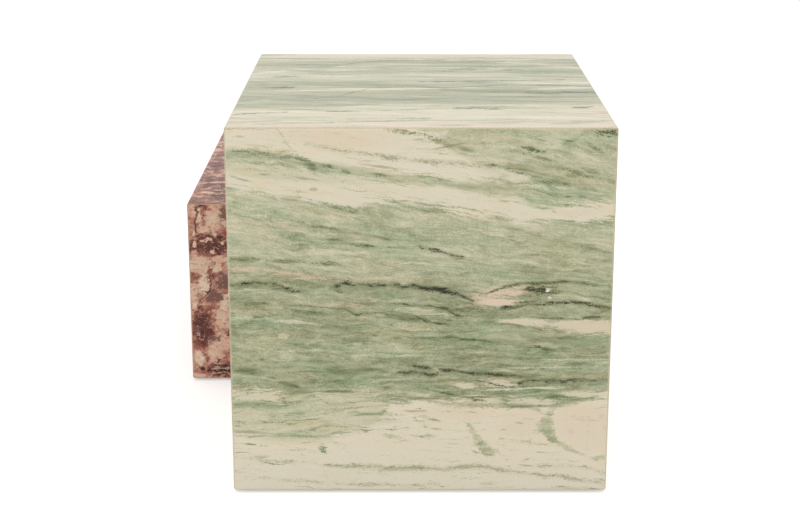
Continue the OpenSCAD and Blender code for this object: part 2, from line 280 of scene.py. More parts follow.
# the look says where the bands, marks and veins lie
def greenStone(name, look):
    material, tree = newMaterial(name)
    along, up, into, place = faceAxes(tree, look["axes"])
    shift = look["shift"]
    long, tall = look["stretch"]
    green = greenMarble

    # the layers lean, with one slope for each height
    slope = calc(tree, "SUBTRACT", byHeight(tree, up, look["slopes"], 0.5), 0.5)
    level = calc(tree, "MULTIPLY_ADD", slope, calc(tree, "SUBTRACT", along, green["leanMiddle"]), up)
    across = calc(tree, "DIVIDE", along, long)
    level = calc(tree, "DIVIDE", level, tall)
    layers = put(tree, "CombineXYZ", {0: across, 1: level, 2: into}).outputs[0]
    plain = put(tree, "VectorMath", {0: place, 1: (1 / long, 1 / tall, 1)}, operation="MULTIPLY").outputs[0]
    layers = stir(tree, layers, (60, 26, 40), (40, 20, 0), shift + 8)

    # the ground tone
    cloud = grainOf(tree, layers, green["cloudSize"], 3, 0.5, shift + 1)
    ground = calc(tree, "MULTIPLY_ADD", cloud, look["clouds"], byHeight(tree, up, look["ground"]))
    if "wildCream" in look:
        start, size = look["wildCream"]
        wild = noise(tree, layers, size, 3, 0.5, shift + 12)
        ground = mixValue(tree, fade(tree, wild, start, start + 0.07), ground, green["wildTone"])

    # the grain: streaks, threads, flecks and specks
    streak = grainOf(tree, layers, green["streakSize"], 4, 0.6, shift + 2)
    thread = grainOf(tree, layers, green["threadSize"], 3, 0.6, shift + 4)
    fleck = grainOf(tree, layers, green["fleckSize"], 3, 0.65, shift + 14)
    speck = grainOf(tree, plain, green["speckSize"], 2, 0.7, shift + 6)
    swell = grainOf(tree, plain, green["swellSize"], 3, 0.6, shift + 15)
    frayWide = summed(tree, (streak, 2.2), (thread, 1.6), (speck, 0.9))
    fraySoft = calc(tree, "MULTIPLY", frayWide, 0.7)
    frayFine = summed(tree, (fleck, 1.6), (speck, 2.2), (thread, 0.9))
    frayVein = summed(tree, (swell, 2), (frayFine, 0.65))
    grit = calc(tree, "MULTIPLY_ADD", speck, 1.5, calc(tree, "MULTIPLY_ADD", thread, 1.5, fleck))
    broken = fade(tree, grit, -0.16, 0.16, look["solid"], 1)

    # zones and marks in the ground
    bent = stir(tree, place, (40 * long, 16 * tall, 30), (10 * long, 5 * tall, 0), shift)
    ragged = stir(tree, bent, (9 * long, 2.6 * tall, 6), (8 * long, 3.4 * tall, 0), shift + 3)
    run, rise = bothWays(tree, ragged)
    for aim, soft, points in look["zones"]:
        near = bandNear(tree, run, rise, points, soft)
        ground = mixValue(tree, frayed(tree, near, frayWide, 0.16, 0.84), ground, aim)
    nearby = stir(tree, place, (8 * long, 2.4 * tall, 6), (6 * long, 2.4 * tall, 0), shift + 5, 4)
    run, rise = bothWays(tree, nearby)
    for aim, soft, points in look["standing"]:
        near = bandNear(tree, rise, run, points, soft)
        mask = frayed(tree, near, frayFine, 0.16, 0.7)
        mask = calc(tree, "MULTIPLY", mask, calc(tree, "MAXIMUM", broken, 0.4))
        ground = mixValue(tree, mask, ground, aim)
    for aim, share, marks in look["marks"]:
        near = marksNear(tree, nearby, marks)
        if aim < 0.6:
            # dark marks are crisp and broken up, pale ones soft
            mask = frayed(tree, near, frayFine, 0.32, 0.66)
            mask = calc(tree, "MULTIPLY", mask, calc(tree, "MULTIPLY", broken, share))
        else:
            mask = calc(tree, "MULTIPLY", frayed(tree, near, fraySoft, 0.12, 0.58), share)
        ground = mixValue(tree, mask, ground, aim)

    # the grain counts for more in the green than in the cream
    mottle = grainOf(tree, layers, green["mottleSize"], 2, 0.5, shift + 16)
    grain = summed(tree, (speck, look["specks"]), (fleck, look["flecks"]), (thread, look["threads"]),
                   (streak, look["streaks"]), (mottle, look["mottle"]))
    strength = fade(tree, ground, 0.62, 0.9, 1, look["creamGrain"])
    colour = ramp(tree, calc(tree, "MULTIPLY_ADD", grain, strength, ground), green["tones"])

    # cooler and warmer greens
    hue = noise(tree, layers, green["hueSize"], 3, 0.5, shift + 7)
    inGreen = fade(tree, ground, 0.84, 0.62)
    cooler = calc(tree, "MULTIPLY", fade(tree, hue, 0.5, 0.64, 0, look["cool"]), inGreen)
    colour = mixColour(tree, cooler, colour, tone(green["coolTone"]), "MULTIPLY")
    colour = mixColour(tree, fade(tree, hue, 0.48, 0.36), colour, tone(green["warmTone"]), "MULTIPLY")
    if "cast" in look:
        colour = mixColour(tree, 1, colour, tone(look["cast"]), "MULTIPLY")
    frayTint = calc(tree, "MULTIPLY", frayWide, 0.6)
    for shade, share, marks in look["tints"]:
        mask = frayed(tree, marksNear(tree, nearby, marks, 1.9), frayTint, 0.06, 0.8)
        mask = calc(tree, "MULTIPLY", mask, calc(tree, "MULTIPLY_ADD", broken, share * 0.6, share * 0.4))
        colour = mixColour(tree, mask, colour, tone(shade))

    # veins that swell and break up, with a green shadow beside them
    fine = stir(tree, place, (14 * long, 6 * tall, 8), (4 * long, 2.4 * tall, 0), shift + 11, 1)
    run, rise = bothWays(tree, fine)
    for shade, share, soft, veins in look["veins"]:
        near = pick(tree, "MAXIMUM", [bandNear(tree, run, rise, points, soft) for points in veins])
        beside = calc(tree, "MULTIPLY", frayed(tree, near, frayFine, 0.1, 0.8), share * 0.7)
        colour = mixColour(tree, beside, colour, tone(green["shadowTone"]), "MULTIPLY")
        core = calc(tree, "MULTIPLY", frayed(tree, near, frayVein, 0.32, 0.92), calc(tree, "SQRT", broken))
        colour = mixColour(tree, calc(tree, "MULTIPLY", core, share), colour, tone(shade))

    polishWithEdgeHighlight(tree, look, green, colour, along, up, place, speck)
    return material


# a look's lists. zones and standing bands: tone, softness, points. marks: tone, strength, marks.
# tints: colour, strength, marks. veins: colour, strength, softness, a list of points for each vein
tallLook = {
    "stretch": (1, 1), "clouds": 0.46, "mottle": 0.4, "streaks": 0.66, "threads": 0.31, "flecks": 0.4,
    "specks": 0.46, "creamGrain": 0.12, "cool": 1, "solid": 0.3, "shine": 0.25,
    "ground": ((0, 0.52), (150, 0.5), (200, 0.48), (250, 0.54), (275, 0.61), (335, 0.62), (420, 0.62)),
    "standing": [],
}

tallFrontLook = dict(
    tallLook,
    axes=(("X", 1, 165), ("Z", 1, 0), ("Y", 1, 435)),
    edges=(("along", 1, 0), ("along", -1, 420), ("up", -1, 420), ("up", 1, -3)),
    shift=0, clouds=0.47, creamGrain=0.07,
    slopes=(
        (0, 0.03), (40, 0.05), (90, -0.05), (130, -0.02), (180, 0.03), (240, 0.06), (290, 0.12),
        (350, 0.17), (420, 0.1),
    ),
    ground=((0, 0.542), (150, 0.522), (200, 0.502), (250, 0.562), (275, 0.632), (335, 0.66), (420, 0.665)),
    zones=[
        (0.66, 22, [
            (196, 408, 6, 0), (236, 407, 9, 0.8), (300, 406, 10, 0.8), (360, 398, 11, 0.75),
            (428, 388, 14, 0.7),
        ]),
        (0.75, 20, [
            (-8, 88, 32, 0.9), (60, 86, 32, 0.9), (120, 90, 32, 0.85), (170, 100, 18, 0.6),
            (205, 108, 6, 0),
        ]),
        (0.95, 15, [
            (-8, 410, 16.1, 1), (64, 408.3, 17.2, 1), (98, 403.3, 21.1, 1), (143, 401.1, 24.4, 0.95),
            (187, 397.8, 28.9, 0.9), (215, 392.2, 26.6, 0.85), (243, 378.9, 20, 0.9), (277, 371.1, 12, 0.8),
            (311, 366.7, 6.5, 0.6), (333, 365.6, 3.3, 0),
        ]),
        (0.69, 11, [
            (-8, 388, 8, 1), (31, 388, 7.4, 1), (59, 384.6, 5.8, 1), (81, 380.4, 4.6, 0.9),
            (98, 375, 3.9, 0.8), (120, 372.8, 6.1, 1), (145, 368.9, 5, 1), (172, 365, 2.7, 0.9),
            (199, 361.7, 2, 0.8), (221, 360, 2.9, 0.9), (246, 357.3, 3.3, 0.9), (277, 355, 3.9, 0.9),
            (311, 352.3, 5.6, 0.8), (344, 347.8, 8.9, 0.4), (367, 345.6, 8.9, 0),
        ]),
        (0.93, 14, [
            (-8, 368, 11, 1), (49, 362, 15, 1), (81, 357.5, 17, 1), (120, 350.5, 15, 1),
            (143, 348.9, 14.4, 1), (185, 349.5, 11.1, 1), (221, 345.6, 11.1, 1), (243, 338.9, 12.2, 1),
            (271, 334.5, 10, 1), (296, 332.3, 8.3, 1), (315, 327.3, 11.7, 1), (334, 323.9, 6.7, 1),
            (367, 325.6, 8.3, 1), (384, 326.2, 9.4, 1), (401, 328.9, 8.9, 1), (428, 331.2, 7.8, 1),
        ]),
        (0.78, 11, [
            (246, 394, 4, 0), (290, 392, 10, 0.85), (333, 390, 9, 0.75), (353, 397.8, 5.6, 0.6),
            (369, 393.3, 5, 0.8), (387, 384.5, 5, 0.8), (402, 377.8, 3.9, 0.6), (418, 372.2, 3.3, 0.2),
        ]),
        (0.96, 15, [
            (-8, 36.9, 40, 1), (33, 30.2, 37.7, 1), (76, 30.2, 35.5, 1), (98, 31.3, 33.3, 1),
            (126, 34.7, 35.5, 1), (156, 41.3, 40, 1), (182, 51.3, 56.1, 1), (210, 51.3, 62.7, 1),
            (243, 48, 63.8, 1), (277, 48, 61.6, 1), (331, 44.7, 59.4, 1), (355, 46.9, 57.2, 1),
            (384, 53.5, 56.6, 1), (402, 58, 57.7, 1), (428, 60.2, 59.9, 1),
        ]),
        (0.42, 8, [
            (-8, 106.8, 3.8, 0.8), (8, 106.3, 3.3, 0.9), (27, 106.5, 3.1, 0.9), (44, 105.7, 3.8, 0.7),
            (64, 105.2, 2.9, 0.5), (87, 104.6, 3.3, 0),
        ]),
        (0.64, 6, [
            (22, 71.9, 1.1, 0), (33, 71.3, 2, 0.8), (48, 70.2, 3.1, 0.9), (64, 69.6, 3.1, 0.8),
            (81, 69.3, 2.9, 0.7), (96, 68.5, 2.2, 0.5), (111, 68, 1.1, 0),
        ]),
        (0.37, 6, [
            (277, 130.2, 0.9, 0), (288, 129, 2.2, 0.8), (305, 127.6, 2.4, 0.9), (322, 127.9, 2.9, 0.8),
            (350, 126.8, 3.3, 0.5), (383, 127.9, 4.4, 0.4), (400, 125.7, 4.4, 0),
        ]),
        (0.37, 6, [
            (344, 114.6, 1.1, 0), (354, 114.6, 2.8, 0.7), (367, 114.8, 3.9, 0.9), (384, 115.2, 4.2, 0.9),
            (396, 115.2, 2.7, 0.8), (405, 116.3, 1.1, 0.6), (409, 116.8, 0.6, 0),
        ]),
        (0.42, 8, [
            (322, 107.9, 1.1, 0), (354, 110.2, 3.3, 0.5), (369, 109.6, 3.3, 0.7), (384, 111.8, 2.9, 0.7),
            (394, 113.5, 1.6, 0),
        ]),
        (0.44, 6, [
            (-8, 391, 1, 0.64), (40, 389, 1, 0.72), (84, 381, 0.8, 0.72), (120, 377, 1, 0.64),
            (172, 366.5, 0.8, 0.56), (221, 362, 0.7, 0.4), (246, 359, 0.6, 0),
        ]),
    ],
    standing=[    # up, along, half its width, strength
        (0.48, 7, [
            (44, 398, 3, 0), (48, 390, 4, 0.6), (53, 377, 5, 0.8), (58.6, 368.7, 5, 0.9), (65.3, 358, 5, 1),
            (73, 353.1, 6.5, 1), (79.7, 349.7, 8.4, 1), (88.3, 350.8, 5.5, 1), (94, 353.1, 3.4, 1),
            (100.2, 357.5, 3.6, 1), (106, 362, 4.5, 0.8), (110, 366, 4, 0),
        ]),
        (0.56, 7, [
            (43, 290, 4, 0), (48, 287, 6, 0.8), (54, 284, 7, 0.9), (60, 279, 5.5, 0.9), (68, 273.5, 4, 0.8),
            (76, 268.5, 3.4, 0.8), (82.4, 264.7, 3, 0.6), (87, 262, 2, 0),
        ]),
    ],
    marks=[
        (0.05, 0.95, [(410, 414.7, 11.8, 3.6, 0), (334, 239, 11.2, 4.4, 8), (353, 236.1, 8.4, 1, 0)]),
        (0.22, 0.9, [
            (18, 394.2, 8.4, 1.4, 0), (43, 390.8, 13.4, 1.9, -9), (69, 388.2, 6.7, 1.6, 9),
            (82, 386.1, 7.8, 2.2, -18), (93, 377, 5, 3.1, -38), (111, 377.8, 6.2, 1.7, -12),
            (129, 372.2, 5.6, 1.7, -16), (166, 368.2, 6.7, 1.5, -8), (307, 371.7, 3.4, 1.3, 0),
            (316, 370.1, 3.6, 1.2, 0), (330, 365.5, 3.9, 1.2, 0), (287, 378.9, 4.2, 1.3, 0),
            (379, 370, 12.9, 2.2, -15), (329, 395.8, 10.6, 1.9, -13), (368, 343.9, 3.6, 1.3, 0),
            (384, 344.9, 3.6, 1.3, 0), (121, 332.5, 12.9, 1.9, -16), (138, 327.8, 3.4, 1.4, 0),
            (83, 314.5, 6.2, 1.7, -18), (109, 309.9, 19.6, 1.5, -6), (174, 297.8, 4.5, 1.7, 0),
            (118, 296.7, 7.3, 1.3, 0), (16, 274.5, 13.4, 2.2, 0), (64, 272.4, 14.5, 1.8, 0),
            (106, 269.3, 12.3, 1.9, 0), (17, 259.4, 9.5, 1.1, 0), (38, 255.9, 5, 0.8, 0),
            (147, 290.1, 15.1, 1.6, -7), (181, 287.7, 9.5, 1, 0), (25, 224, 6.2, 1.3, 6),
            (40, 224.6, 3.4, 1.1, 0), (50, 194.6, 3.1, 1.3, 0), (73, 176.5, 2.2, 1.1, 0),
            (35, 159.6, 2.6, 1.3, 0), (21, 145.7, 13.4, 3.3, -9), (45, 137.9, 5, 1.4, -16),
            (58, 132.3, 5.6, 1.9, -18), (67, 129.4, 5.6, 1.7, -14), (78, 122.3, 7.3, 1.7, 12),
            (120, 122.2, 14.5, 1.3, 0), (120, 147.6, 9.5, 3.1, -4), (90, 145.5, 14, 0.9, 0),
            (150, 148, 18.5, 1.8, 0), (160, 187.6, 2.5, 1.1, 0), (185, 184.7, 3.9, 1.2, 0),
            (213, 184.6, 9, 1.3, 0), (242, 204.8, 2.8, 1.1, 0), (230, 201.6, 9, 1.5, -4),
            (199, 206.5, 16.2, 2.6, -7), (350, 171.8, 7.3, 1.7, -12), (331, 161.1, 10.6, 1.2, 0),
            (384, 155.3, 7.8, 1.2, 0), (284, 203.7, 6.7, 1.1, 0), (299, 118.2, 11.2, 1.6, 5),
            (356, 116.4, 6.2, 1.8, 6), (173, 126.8, 3.6, 1.3, 0), (101, 53.5, 4.6, 3.4, -60),
            (26, 246, 21, 3, -3), (56, 242, 16, 2.6, -10), (230, 239, 24, 3.4, -6),
            (334, 239.6, 22, 4.2, 2),
        ]),
        (0.26, 0.85, [
            (186, 416, 10, 2, -8), (205, 413, 12, 1.6, -4), (228, 405, 12, 2.2, -24),
            (240, 400, 12, 2.4, -30), (256, 396, 8, 2, -10), (312, 394, 14, 1.8, -5),
            (330, 371, 22, 3.6, -12), (352, 360, 14, 2, -8), (300, 366, 6, 1.6, 0), (372, 368, 8, 2, 0),
            (392, 372, 8, 2.4, -20), (340, 386, 9, 1.6, -10), (366, 404, 8, 1.8, 20),
            (395, 398, 10, 2, -30), (398, 287, 16, 2.2, -14),
        ]),
        (0.32, 0.36, [
            (134, 146, 22, 5, 0), (72, 126, 16, 7, -30), (350, 180, 50, 6, -3), (168, 240, 26, 5, -4),
        ]),
        (0.5, 0.8, [
            (75, 97.8, 4.8, 2.9, -8), (44, 93.5, 3.9, 1.7, 0), (31, 82.7, 6.2, 1.4, -10),
            (90, 79, 5.6, 1.2, 0), (104, 82.1, 5.6, 1.7, 8), (54, 70.1, 2.5, 1.7, 0),
            (163, 94.9, 20.7, 1.9, 0), (181, 94.9, 3.1, 1.4, 0), (219, 90.4, 10.4, 1.7, -14),
            (173, 86.7, 10.1, 1.4, -5), (149, 75.1, 2.2, 1.3, 8), (218, 69.1, 8.7, 1.6, 4),
            (178, 68.5, 8.4, 2.2, -8), (411, 43, 6.7, 2.2, 10), (281, 53, 2.8, 2.2, 0),
            (286, 11.7, 5.9, 1.8, 0), (377, 6.6, 9.5, 1.4, -8), (107, 34.7, 2.8, 1.1, 0),
            (16, 410, 5, 1, 0),
        ]),
        (0.66, 0.5, [
            (392, 273.1, 28.5, 5.3, -2), (154, 170.1, 44.8, 6.7, 0), (275, 392, 30, 7, -14),
            (312, 384, 26, 6, -14), (288, 410, 26, 6, 0), (64, 369, 50, 5, -6), (365, 398, 26, 5, -14),
        ]),
        (0.84, 0.6, [
            (348, 407.2, 9.5, 5, -10), (290, 383.1, 19, 2.4, -7), (298, 368.4, 26.9, 3.9, -18),
            (59, 187.1, 4.5, 1.9, 0), (67, 168.9, 11.8, 0.9, 0), (206, 117.9, 10.6, 2.2, 0),
            (300, 146.9, 10.4, 1.2, 0), (130, 281.6, 24.6, 1.5, 0), (213, 214.6, 21.8, 2.8, -8),
            (214, 194, 11.8, 1.2, 0), (157, 104.3, 12.9, 4.2, 0), (45, 79.4, 32.5, 4.2, -1),
            (125, 78.3, 19.6, 1.7, 0), (8, 312.4, 1.6, 1.4, 0), (14, 311.1, 1.5, 1.4, 0),
            (43, 323.4, 1.5, 1.4, 0), (68, 203.3, 19, 1.2, -3), (29, 207.2, 20.7, 1.6, -2),
            (354, 150.3, 44.2, 0.8, 1), (391, 159.6, 29.1, 0.8, 0), (150, 88, 26, 4, 0), (20, 90, 20, 3, 0),
            (110, 92, 20, 3, 4), (60, 66, 30, 3, -2), (292, 409, 12, 5, -4), (56, 371, 34, 3, -6),
        ]),
        (0.98, 1, [(349, 240, 2, 1.9, 0), (351, 231.2, 1.6, 1.3, 0)]),
        (0.88, 0.92, [
            (297, 130.5, 16, 3.2, -8), (284, 110.5, 18, 4.2, -4), (330, 109.5, 20, 4, 0),
            (388, 118, 18, 3, 0), (262, 129, 8, 2.6, 0), (308, 124.8, 22, 1.2, 2), (350, 126, 12, 1.2, 0),
            (28, 117.5, 30, 4.6, -2), (296, 226, 16, 3, -5), (394, 198.5, 32, 6, -3),
            (330, 203.5, 24, 3.2, 0),
        ]),
    ],
    tints=[
        ((218, 196, 172), 1, [(297, 235, 27, 5.6, 7), (292, 226, 18, 3.4, -3)]),
        ((216, 192, 166), 0.75, [
            (24, 262.6, 20.1, 3.1, -4), (73, 257, 30.8, 3.1, -6), (278, 230.8, 11.2, 3.2, -6),
        ]),
        ((216, 192, 166), 0.4, [
            (116, 409.5, 51.5, 9.4, -2), (37, 315.3, 26.3, 2.5, -7), (50, 314.3, 12.9, 1.6, 0),
            (71, 310.4, 10.1, 1, 0), (158, 253.7, 57.1, 2.5, 0), (27, 215.4, 16.8, 3.6, -2),
            (128, 220.4, 12.3, 1.6, 0), (101, 223.4, 20.7, 1.9, -2), (139, 223.4, 7.3, 2.8, 0),
            (186, 216.8, 3.7, 1.9, 0), (265, 221.6, 12.9, 2.4, -3), (190, 196.6, 12.9, 1.6, -4),
            (206, 164.5, 10.6, 1.2, 0), (317, 202.2, 19, 2.4, -3), (351, 199.7, 17.3, 2.6, -5),
            (172, 142.4, 6.7, 1.3, 0), (256, 130.8, 22.4, 2.7, -3), (299, 136.2, 22.4, 2.5, -1),
            (48, 115.6, 12.3, 2.1, 0), (13, 123.2, 8.4, 4.2, 0), (249, 96.3, 28, 8.3, -3),
            (373, 326.4, 20.1, 2.5, 0), (388, 82.4, 30.8, 21.1, 0), (325, 83.5, 25.2, 15.5, 0),
            (384, 198, 40, 6, -2),
        ]),
        ((122, 116, 84), 0.6, [
            (184, 417.3, 6.7, 0.8, 0), (208, 407.1, 5.6, 0.8, 0), (241, 400, 17.9, 0.9, 12),
            (275, 403.3, 3.4, 1.3, 0), (43, 368.9, 5, 0.9, 0), (85, 364.3, 11.8, 1.1, -9),
            (166, 377.6, 15.7, 1.1, -8), (17, 363.8, 9, 1.1, -17), (95, 352.3, 3.4, 1.7, 0),
            (71, 340.9, 8.4, 1.1, -7), (191, 339.5, 5.6, 0.9, 0), (213, 336, 9, 1.2, -11),
            (311, 308.3, 7.8, 1.2, -10), (308, 300.1, 3.9, 1.1, 0), (316, 292.3, 3.6, 1.1, 0),
            (332, 279.9, 9, 0.9, 0), (331, 260, 18.5, 1.2, -7), (142, 303.4, 5.6, 1.1, -10),
            (161, 300, 13.4, 1.2, -9), (188, 296.2, 14, 1, -5), (109, 156.6, 7.8, 1.3, 0),
            (168, 138.6, 15.1, 1, 0), (70, 255.5, 11.2, 0.9, 0), (186, 108.1, 10.6, 0.9, -4),
            (204, 99.1, 9, 0.9, 0), (229, 77.4, 5.6, 1, -6), (321, 84.6, 3.9, 0.8, -10),
            (401, 113.7, 2.2, 1.7, 0), (330, 41.3, 3.4, 0.8, 20), (330, 33.7, 6.7, 1, -5),
            (31, 44.5, 6.2, 0.9, 0), (17, 73.9, 13.4, 1, 0),
        ]),
        ((202, 160, 112), 0.26, [
            (205, 98, 14, 1.4, -4), (381, 92.1, 2, 1.7, 0), (412, 92.4, 2.5, 3.3, 70),
            (416, 78.8, 2.5, 2.5, 0), (379, 74.1, 2.8, 1.7, 0), (397, 74.7, 2.2, 1.2, 0),
            (397, 52.9, 2.2, 1.1, 0), (398, 91.6, 2.2, 1.4, 0), (346, 5.2, 2.5, 1.3, 0),
            (7, 418.6, 2.8, 3.1, 0),
        ]),
        ((212, 200, 156), 0.5, [
            (37, 355, 6, 4, 0), (340, 60, 40, 1.6, -3), (250, 76, 30, 1.2, -2), (60, 60, 44, 1.2, 0),
        ]),
        ((216, 211, 192), 0.6, [(110, 18, 160, 22, 0), (330, 12, 140, 14, 0)]),
    ],
    veins=[
        ((38, 38, 24), 0.95, 4.8, [
            [
                (4, 245.1, 1.08, 0.5), (13, 245.7, 1.56, 0.8), (20, 246.8, 2.04, 1), (29, 247.9, 1.44, 1),
                (43, 247.9, 1.32, 0.9), (57, 244.5, 1.44, 0.9), (65, 240.5, 1.32, 0.9),
                (76, 237.9, 1.08, 0.7), (96, 239.5, 0.84, 0.5), (118, 237.9, 0.84, 0.4),
                (131, 236.8, 0.72, 0),
            ],
            [
                (114, 245.1, 1, 0), (119, 245.7, 1.9, 1), (130, 247.4, 1.9, 1), (137, 245.7, 1.9, 1),
                (159, 245.7, 1.9, 1), (171, 245.4, 1.9, 1), (174, 244.5, 0.7, 0.5), (184, 246.1, 1.4, 1),
                (191, 242.9, 1.3, 1), (202, 245, 2, 1), (210, 242.7, 2.6, 1), (221, 241.5, 3, 1),
                (233, 239, 2.6, 1), (243, 236.7, 2, 0.9), (253, 234.1, 1.3, 0.9), (266, 228.1, 1, 0.8),
                (275, 226.8, 0.5, 0),
            ],
            [
                (295, 218.4, 0.84, 0), (304, 219.7, 1.92, 1), (313, 220.4, 1.92, 1), (322, 221.8, 1.56, 1),
                (329, 223.2, 1.44, 0.9), (341, 223.1, 1.32, 0.8), (350, 224.4, 1.56, 0.9),
                (360, 225, 1.32, 0.9), (375, 225.3, 1.32, 0.9), (387, 224.7, 1.32, 0.8),
                (395, 222.3, 1.44, 0.8), (406, 220.4, 2.28, 1), (416, 219, 2.04, 1),
                (422, 217.9, 1.32, 0.8),
            ],
            [
                (200, 153.5, 0.66, 0), (204, 152.6, 1.1, 0.9), (211, 151.3, 1.1, 1), (220, 150, 1.21, 1),
                (223, 149.7, 0.66, 0),
            ],
            [
                (183, 144, 0.66, 0), (190, 144.3, 0.99, 0.9), (202, 144.5, 1.1, 1), (215, 142.9, 1.21, 1),
                (221, 140.6, 2.31, 1), (225, 141.3, 1.87, 1), (230, 142.2, 0.88, 0.8),
                (238, 141.3, 0.44, 0),
            ],
            [
                (229, 148.5, 0.69, 0), (233, 147.5, 1.26, 1), (241, 146.2, 1.26, 1), (252, 145.7, 1.26, 1),
                (261, 144.3, 1.03, 1), (277, 142.9, 1.26, 1), (285, 142.4, 1.49, 1), (295, 141.8, 1.26, 1),
                (304, 140.6, 1.15, 1), (317, 140.4, 1.03, 0.8), (330, 140.4, 0.8, 0.4),
                (350, 140.6, 0.69, 0.2), (367, 140.7, 0.46, 0),
            ],
            [
                (316, 130.7, 0.88, 0), (321, 131.9, 1.62, 1), (326, 134.4, 1.62, 1), (337, 134.8, 1.5, 0.9),
                (348, 134.4, 1.38, 0.9), (361, 134.8, 1.75, 1), (370, 133.3, 1.75, 1),
                (375, 135.3, 1.25, 0.9), (387, 135.8, 1.38, 0.9), (401, 134.8, 1, 0.7),
                (422, 134.4, 0.88, 0.5),
            ],
            [
                (318, 240, 1.2, 0), (326, 240.8, 2.6, 0.8), (336, 239.6, 3.6, 1), (346, 238, 2.6, 0.9),
                (354, 236.8, 1.2, 0.7), (366, 236, 0.6, 0),
            ],
            [
                (238, 136, 0.8, 0), (262, 135, 1.2, 0.6), (285, 132.6, 1.3, 0.8), (300, 127.4, 1.4, 0.8),
                (322, 126.6, 1, 0),
            ],
            [
                (205, 290.1, 0.9, 0), (210, 288.4, 1.5, 1), (217, 286.1, 1.5, 1), (228, 283.9, 1.6, 1),
                (236, 282, 1.2, 1), (245, 278.7, 1.5, 1), (255, 277.6, 1.4, 1), (259, 277.2, 0.6, 0),
            ],
        ]),
        ((58, 60, 38), 0.85, 3.2, [
            [
                (281, 235.7, 0.9, 0), (286, 237.1, 1.35, 0.7), (300, 242.9, 1.65, 0.8),
                (313, 245.7, 1.8, 0.9), (325, 247.2, 1.8, 0.9), (354, 247.7, 1.8, 0.9),
                (368, 249.1, 1.65, 0.8), (392, 246.8, 1.5, 0.7), (407, 244.5, 1.2, 0.5),
                (419, 244.5, 0.9, 0),
            ],
            [
                (308, 224.6, 0.8, 0), (315, 225.3, 1.1, 0.8), (344, 226.2, 1.3, 0.9),
                (375, 225.7, 1.1, 0.9), (397, 225.1, 1, 0.6), (411, 223.4, 0.8, 0),
            ],
            [
                (62, 221.8, 0.6, 0), (70, 222.1, 0.8, 0.7), (90, 221.2, 0.8, 0.9), (107, 219.8, 0.8, 0.9),
                (114, 218.4, 0.8, 0.9), (127, 218.1, 1, 0.9), (134, 214.2, 1.6, 1), (141, 211, 1.7, 1),
                (149, 213.4, 1.2, 0.7), (166, 212.9, 1.1, 0.7), (176, 211.6, 0.9, 0.9),
                (194, 211.4, 1, 0.9), (204, 210.1, 1, 0.8), (209, 207.3, 1.3, 0.8), (223, 202.3, 1.1, 0.8),
                (238, 200.7, 1, 0.6), (246, 199.6, 0.7, 0),
            ],
            [
                (170, 224.6, 0.7, 0), (176, 224.6, 0.9, 0.7), (189, 224.4, 1.1, 0.8),
                (196, 222.6, 1.1, 0.9), (205, 221.7, 1.1, 1), (218, 221.8, 1.1, 1), (227, 219.8, 1.1, 1),
                (238, 218.4, 1.6, 1), (243, 215.2, 1.4, 0.9), (248, 212, 1.2, 0.9), (254, 209.7, 1.2, 0.8),
                (264, 210.1, 1.1, 0.6), (277, 209, 0.9, 0),
            ],
            [
                (322, 209, 0.7, 0), (333, 208.7, 0.9, 0.5), (350, 207.5, 1, 0.9), (364, 207.2, 1, 0.9),
                (372, 206.2, 0.8, 0.8), (385, 206.2, 1, 0.9), (392, 208.1, 1.2, 1), (400, 208.7, 1.1, 1),
                (409, 207.9, 0.7, 0),
            ],
            [
                (230, 184.6, 0.6, 0), (237, 185.2, 0.9, 0.8), (243, 186.1, 0.9, 0.9),
                (250, 184.8, 0.9, 0.9), (256, 183.1, 1.1, 1), (261, 182.9, 1, 1), (277, 181.7, 0.8, 0.8),
                (286, 180.2, 0.8, 0.7), (293, 177.9, 0.7, 0.5), (302, 176.8, 0.6, 0),
            ],
            [
                (311, 175.1, 0.6, 0), (317, 174.6, 0.9, 0.8), (341, 174.4, 0.9, 0.8),
                (346, 172.4, 0.9, 0.8), (356, 170.7, 0.8, 0.5), (367, 172.9, 0.7, 0.3),
                (378, 174, 0.8, 0.6), (400, 174.1, 0.8, 0.6), (422, 174, 0.8, 0.6),
            ],
            [
                (204, 125.2, 0.6, 0), (213, 125.7, 1, 0.6), (229, 122.2, 1.1, 0.7), (238, 120.4, 1.1, 0.8),
                (261, 114.8, 1.2, 0.8), (270, 112.9, 1.4, 1), (277, 111.8, 1.4, 0.8), (288, 110.2, 1.1, 0),
            ],
        ]),
        ((142, 142, 108), 0.7, 6, [
            [
                (82, 402.2, 1.35, 0), (98, 399.5, 1.65, 0.6), (111, 397.8, 1.65, 0.8),
                (127, 394.5, 1.65, 0.8), (163, 390, 1.5, 0.7), (176, 387.2, 2.7, 0.8),
                (193, 385.6, 1.65, 0.6), (213, 383.4, 1.5, 0.9), (245, 381.1, 1.65, 0.9),
                (277, 377.8, 1.35, 0.7), (290, 376.7, 1.05, 0),
            ],
            [
                (168, 364.5, 1.35, 0), (182, 362.3, 1.65, 0.8), (210, 360, 1.65, 0.7),
                (230, 357.8, 1.65, 0.4), (255, 355.6, 1.65, 0.6), (303, 352.3, 1.65, 0.6),
                (316, 351.1, 1.65, 0),
            ],
            [
                (183, 114.2, 0.9, 0), (187, 115.1, 1.35, 0.7), (196, 116.5, 1.35, 0.7),
                (203, 116.5, 1.35, 0.7), (210, 114.4, 1.5, 0.9), (224, 110.6, 1.65, 0.9),
                (247, 106.8, 2.1, 0.8), (277, 105.1, 2.55, 0.8), (305, 106, 2.85, 0.8),
                (331, 104.6, 2.7, 0.8), (343, 100.2, 1.95, 0.6), (350, 99.1, 1.35, 0),
            ],
            [
                (-8, 46.3, 1.65, 0.25), (37, 39.9, 1.65, 0.5), (53, 38.5, 1.8, 0.7), (67, 38.5, 1.35, 0.6),
                (89, 36.9, 1.05, 0.2), (104, 34.7, 1.35, 0.7), (114, 33.5, 1.65, 0.8),
